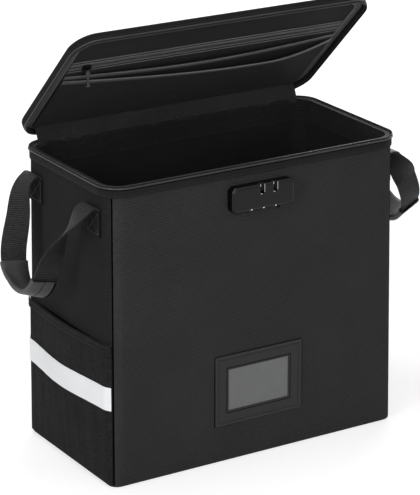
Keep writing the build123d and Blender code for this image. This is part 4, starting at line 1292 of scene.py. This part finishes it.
def handleFrame(side, line, share):
    # point, width direction and face direction of a handle's webbing
    form, hand = handleForm, handleSides[side]
    tilt = math.atan2(hand["reach"] - form["axisReach"], hand["drop"])
    point, tangent = line(share)
    across = tangent.cross(Vector((hand["sign"] * math.cos(tilt), 0,
                                   math.sin(tilt)))).normalized()
    above = across.cross(tangent).normalized()
    turned = min(1.0, share / hand["front"], (1 - share) / hand["rear"]) * math.pi / 2
    wide = across * (hand["way"] * math.cos(turned)) + above * math.sin(turned)
    return point, wide, tangent.cross(wide).normalized()


def clothUv(bm, width, length):
    layer = bm.loops.layers.uv.new("cloth")
    for face in bm.faces:
        for loop in face.loops:
            loop[layer].uv = (loop.vert.co.y * width, loop.vert.co.x * length)


def webbing(name, place, length, look, columns, body=None, replaced=()):
    # webbing strip: place(share) gives point, width way and face way; UV in metres along it
    width, thick = handleForm["width"], handleForm["thick"]
    bm = bmesh.new()
    bmesh.ops.create_grid(bm, x_segments=columns, y_segments=8, size=0.5)
    top = bmesh.ops.extrude_face_region(bm, geom=bm.faces[:], use_keep_orig=True)["geom"]
    bmesh.ops.translate(bm, vec=upWay, verts=[v for v in top if isinstance(v, bmesh.types.BMVert)])
    clothUv(bm, width, length)
    for vert in bm.verts:
        point, wide, face = place(vert.co.x + 0.5)
        edge = abs(vert.co.y) * 2
        lift = 0.00012 * smooth(0.80, 0.9, edge) + thick * (vert.co.z - 0.5)
        vert.co = point + wide * (vert.co.y * width) + face * lift
    bmesh.ops.recalc_face_normals(bm, faces=bm.faces)
    return finishPiece(name, bm, [look], body, replaced, "webbing", sharp=50, merged=False)


def gripSleeve(side, line):
    # padded sleeve round the webbing, hemmed at both ends, with a seam along its outer side
    form = gripForm
    low, high = 0.0, 0.5
    for _ in range(20):
        middle = (low + high) / 2
        low, high = (middle, high) if line(middle)[0].y < -form["half"] else (low, middle)
    start = low
    bm = bmesh.new()
    bmesh.ops.create_grid(bm, x_segments=60, y_segments=56, size=0.5)
    clothUv(bm, form["uvWidth"], form["uvLength"])
    outward = handleSides[side]["sign"]
    seamSide = set()
    for vert in bm.verts:
        share, part = vert.co.x + 0.5, (vert.co.y + 0.5) * 4
        point, wide, face = handleFrame(side, line, start + (1 - 2 * start) * share)
        end = min(share, 1 - share)
        flare = form["flare"] * math.exp(-(end / 0.05) ** 2)
        hem = form["hem"] * (1 - smooth(0.085, 0.095, end)) * smooth(0.0, 0.006, end)
        thick = form["thick"] + form["fuller"] * math.sin(math.pi * share) + flare + hem
        half = form["halfWidth"] - thick
        way = 1 if part < 2 else -1
        spot = part % 2
        if spot < 1.4:  # the broad face, closer steps in its middle for the seam
            t = 1 - spot / 0.7
            a, b = way * half * (0.35 * t + 0.65 * t ** 3), way * thick
            if abs(t) < 0.2 and way * outward > 0:
                b -= way * form["seam"] * (1 - abs(t) / 0.2)
            if abs(t) < 0.16 and way * outward > 0:
                seamSide.add(vert)
        else:  # the rounded edge
            turn = math.pi * (spot - 1.4) / 0.6
            a = way * (-half - thick * math.sin(turn))
            b = way * thick * math.cos(turn)
        vert.co = point + wide * a + face * b
    # faces in the seam's groove take seamShade, near black: painted shade in the groove
    for face in bm.faces:
        if all(v in seamSide for v in face.verts):
            face.material_index = 1
    bmesh.ops.remove_doubles(bm, verts=bm.verts, dist=1e-6)
    bmesh.ops.recalc_face_normals(bm, faces=bm.faces)
    probe = max(bm.faces, key=lambda f: f.calc_center_median().x * outward)
    if probe.normal.x * outward < 0:
        bmesh.ops.reverse_faces(bm, faces=bm.faces)
    bmesh.ops.solidify(bm, geom=bm.faces[:], thickness=form["sheet"])
    finishPiece(side + "Grip", bm, ["gripCloth", "seamShade"], side + "_handle",
                [side + "_handle_grip"], "webbing", sharp=60)


def handleEnd(side, line, end):
    # a fold and its sewn patch, at the front (-1) or the rear (1); gives the patch's stitches
    form, sign = handleForm, handleSides[side]["sign"]
    label, isFront = side + ("Front" if end < 0 else "Rear"), end < 0
    inner = halfX + 0.0003 + form["thick"] / 2
    point, way = line(0.0 if isFront else 1.0)
    way = way * -end
    tip = point - way * 0.0003
    y, high = end * form["spread"], form["anchorTop"]
    low = high - form["anchorLength"]
    foot, wide = (sign * inner, y, high), Vector((0, 1, 0))
    crest = (sign * (inner + (abs(tip.x) - inner) / 2), y, tip.z + form["foldRise"])
    route = smoothLine([foot, crest, tip], upWay, way)

    def folded(part):
        spot, direction = route(part)
        return spot, wide, direction.cross(wide).normalized()

    def flat(part):
        return Vector((sign * inner, y, low + (high - low) * part)), wide, Vector((sign, 0, 0))
    fold = webbing(label + "Fold", folded, form["foldLength"], "webbingCloth", 20,
                   replaced=[side + "_handle_folds"] if isFront else ())
    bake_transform(fold)
    webbing(label + "Anchor", flat, form["anchorLength"], "anchorCloth", 16, "case",
            [side + "_handle_anchors"] if isFront else ())
    x = sign * (inner + form["thick"] / 2)
    y0, y1 = y - form["sewnHalf"], y + form["sewnHalf"]
    z0, z1 = low + form["sewnLow"], high - form["sewnHigh"]
    rows = []
    for a, b in (((y0, z0), (y1, z0)), ((y1, z0), (y1, z1)), ((y1, z1), (y0, z1)),
                 ((y0, z1), (y0, z0)), ((y0, z0), (y1, z1)), ((y0, z1), (y1, z0))):
        rows += seam((x, *a), (x, *b), (sign, 0, 0), form["stitchPitch"])
    return rows


def handlePieces(side):
    form = handleForm
    line = handleLine(side)

    def hanging(share):
        point, wide, face = handleFrame(side, line, share)
        beyond = 0.0004 * (max(0.0, 1 - share * 100) - max(0.0, 1 - (1 - share) * 100))
        return point - line(share)[1] * beyond, wide, face
    webbing(side + "Strap", hanging, form["length"], "webbingCloth", 120, side + "_handle",
            [side + "_handle_strap"])
    gripSleeve(side, line)
    rows = handleEnd(side, line, -1) + handleEnd(side, line, 1)
    stitches(side + "AnchorStitching", rows, "case", length=form["stitch"],
             thick=form["stitchThick"], look="paleThread")


for handSide in handleSides:
    handlePieces(handSide)
print("handles made")


# floor, light and camera; a lamp is its place, its size and its watts
studioForm = {"floorHalf": 12, "floorZ": -0.0002, "floorTone": 0.72, "floorGlow": 1.84,
              "glowShare": 0.35, "sky": 0.24, "aim": (0, 0, 0.2),
              "cameraPlace": (-1.38806, -2.24099, 1.14708),
              "cameraWay": (0.495748, 0.801845, -0.333583), "lens": 181.8}
lamps = {"key": ((-2.8, -1.25, 1.3), (0.7, 2.2), 42.0),
         "front": ((-0.6, -2.8, 1.4), (1.3, 1.3), 29.0),
         "top": ((-0.4, 0.1, 2.6), (1.4, 1.4), 28.0),
         "back": ((1.8, 1.9, 1.3), (1.5, 1.5), 38.0)}


def seenWhite(tree, share, plain, white, output):
    # mixes in the white for what the camera, mirrors and clear film see
    path = addNode(tree, "ShaderNodeLightPath").outputs
    seen = calc(tree, "MAXIMUM", path["Is Camera Ray"],
                calc(tree, "MAXIMUM", path["Is Glossy Ray"], path["Is Transmission Ray"]))
    both = addNode(tree, "ShaderNodeMixShader", {0: calc(tree, "MULTIPLY", seen, share),
                                                 1: plain.outputs[0], 2: white.outputs[0]})
    tree.links.new(both.outputs[0], tree.nodes.new(output).inputs[0])


def paleFloor():
    form = studioForm
    bm = bmesh.new()
    bmesh.ops.create_grid(bm, x_segments=1, y_segments=1, size=form["floorHalf"])
    mesh = bpy.data.meshes.new("floor")
    bm.to_mesh(mesh)
    bm.free()
    floor = bpy.data.objects.new("floor", mesh)
    bpy.context.collection.objects.link(floor)
    floor.location.z = form["floorZ"]
    material = bpy.data.materials.new("paleFloor")
    material.use_nodes = True
    tree = material.node_tree
    tree.nodes.clear()
    pale = addNode(tree, "ShaderNodeBsdfDiffuse", {"Color": (*[form["floorTone"]] * 3, 1)})
    glow = addNode(tree, "ShaderNodeEmission", {"Color": (1, 1, 1, 1),
                                                "Strength": form["floorGlow"]})
    seenWhite(tree, form["glowShare"], pale, glow, "ShaderNodeOutputMaterial")
    mesh.materials.append(material)


def whiteWorld():
    world = bpy.data.worlds.new("studio")
    bpy.context.scene.world = world
    world.use_nodes = True
    tree = world.node_tree
    tree.nodes.clear()
    dim, white = (addNode(tree, "ShaderNodeBackground", {"Color": (1, 1, 1, 1), "Strength": power})
                  for power in (studioForm["sky"], 1.0))
    seenWhite(tree, 1.0, dim, white, "ShaderNodeOutputWorld")


def lampsAndCamera():
    form = studioForm
    for name, (place, size, power) in lamps.items():
        lamp = bpy.data.lights.new(name, "AREA")
        lamp.shape, lamp.energy = "RECTANGLE", power
        lamp.size, lamp.size_y = size
        holder = bpy.data.objects.new(name, lamp)
        bpy.context.collection.objects.link(holder)
        holder.location = place
        holder.rotation_euler = (Vector(form["aim"]) - Vector(place)).to_track_quat(
            "-Z", "Y").to_euler()
    view = bpy.data.cameras.new("camera")
    view.lens, view.sensor_width, view.clip_end = form["lens"], 36.0, 50.0
    camera = bpy.data.objects.new("camera", view)
    bpy.context.collection.objects.link(camera)
    camera.location = form["cameraPlace"]
    camera.rotation_euler = Vector(form["cameraWay"]).to_track_quat("-Z", "Y").to_euler()
    bpy.context.scene.camera = camera
    bpy.context.scene.view_settings.view_transform = "Standard"


paleFloor()
whiteWorld()
lampsAndCamera()
print("studio made")
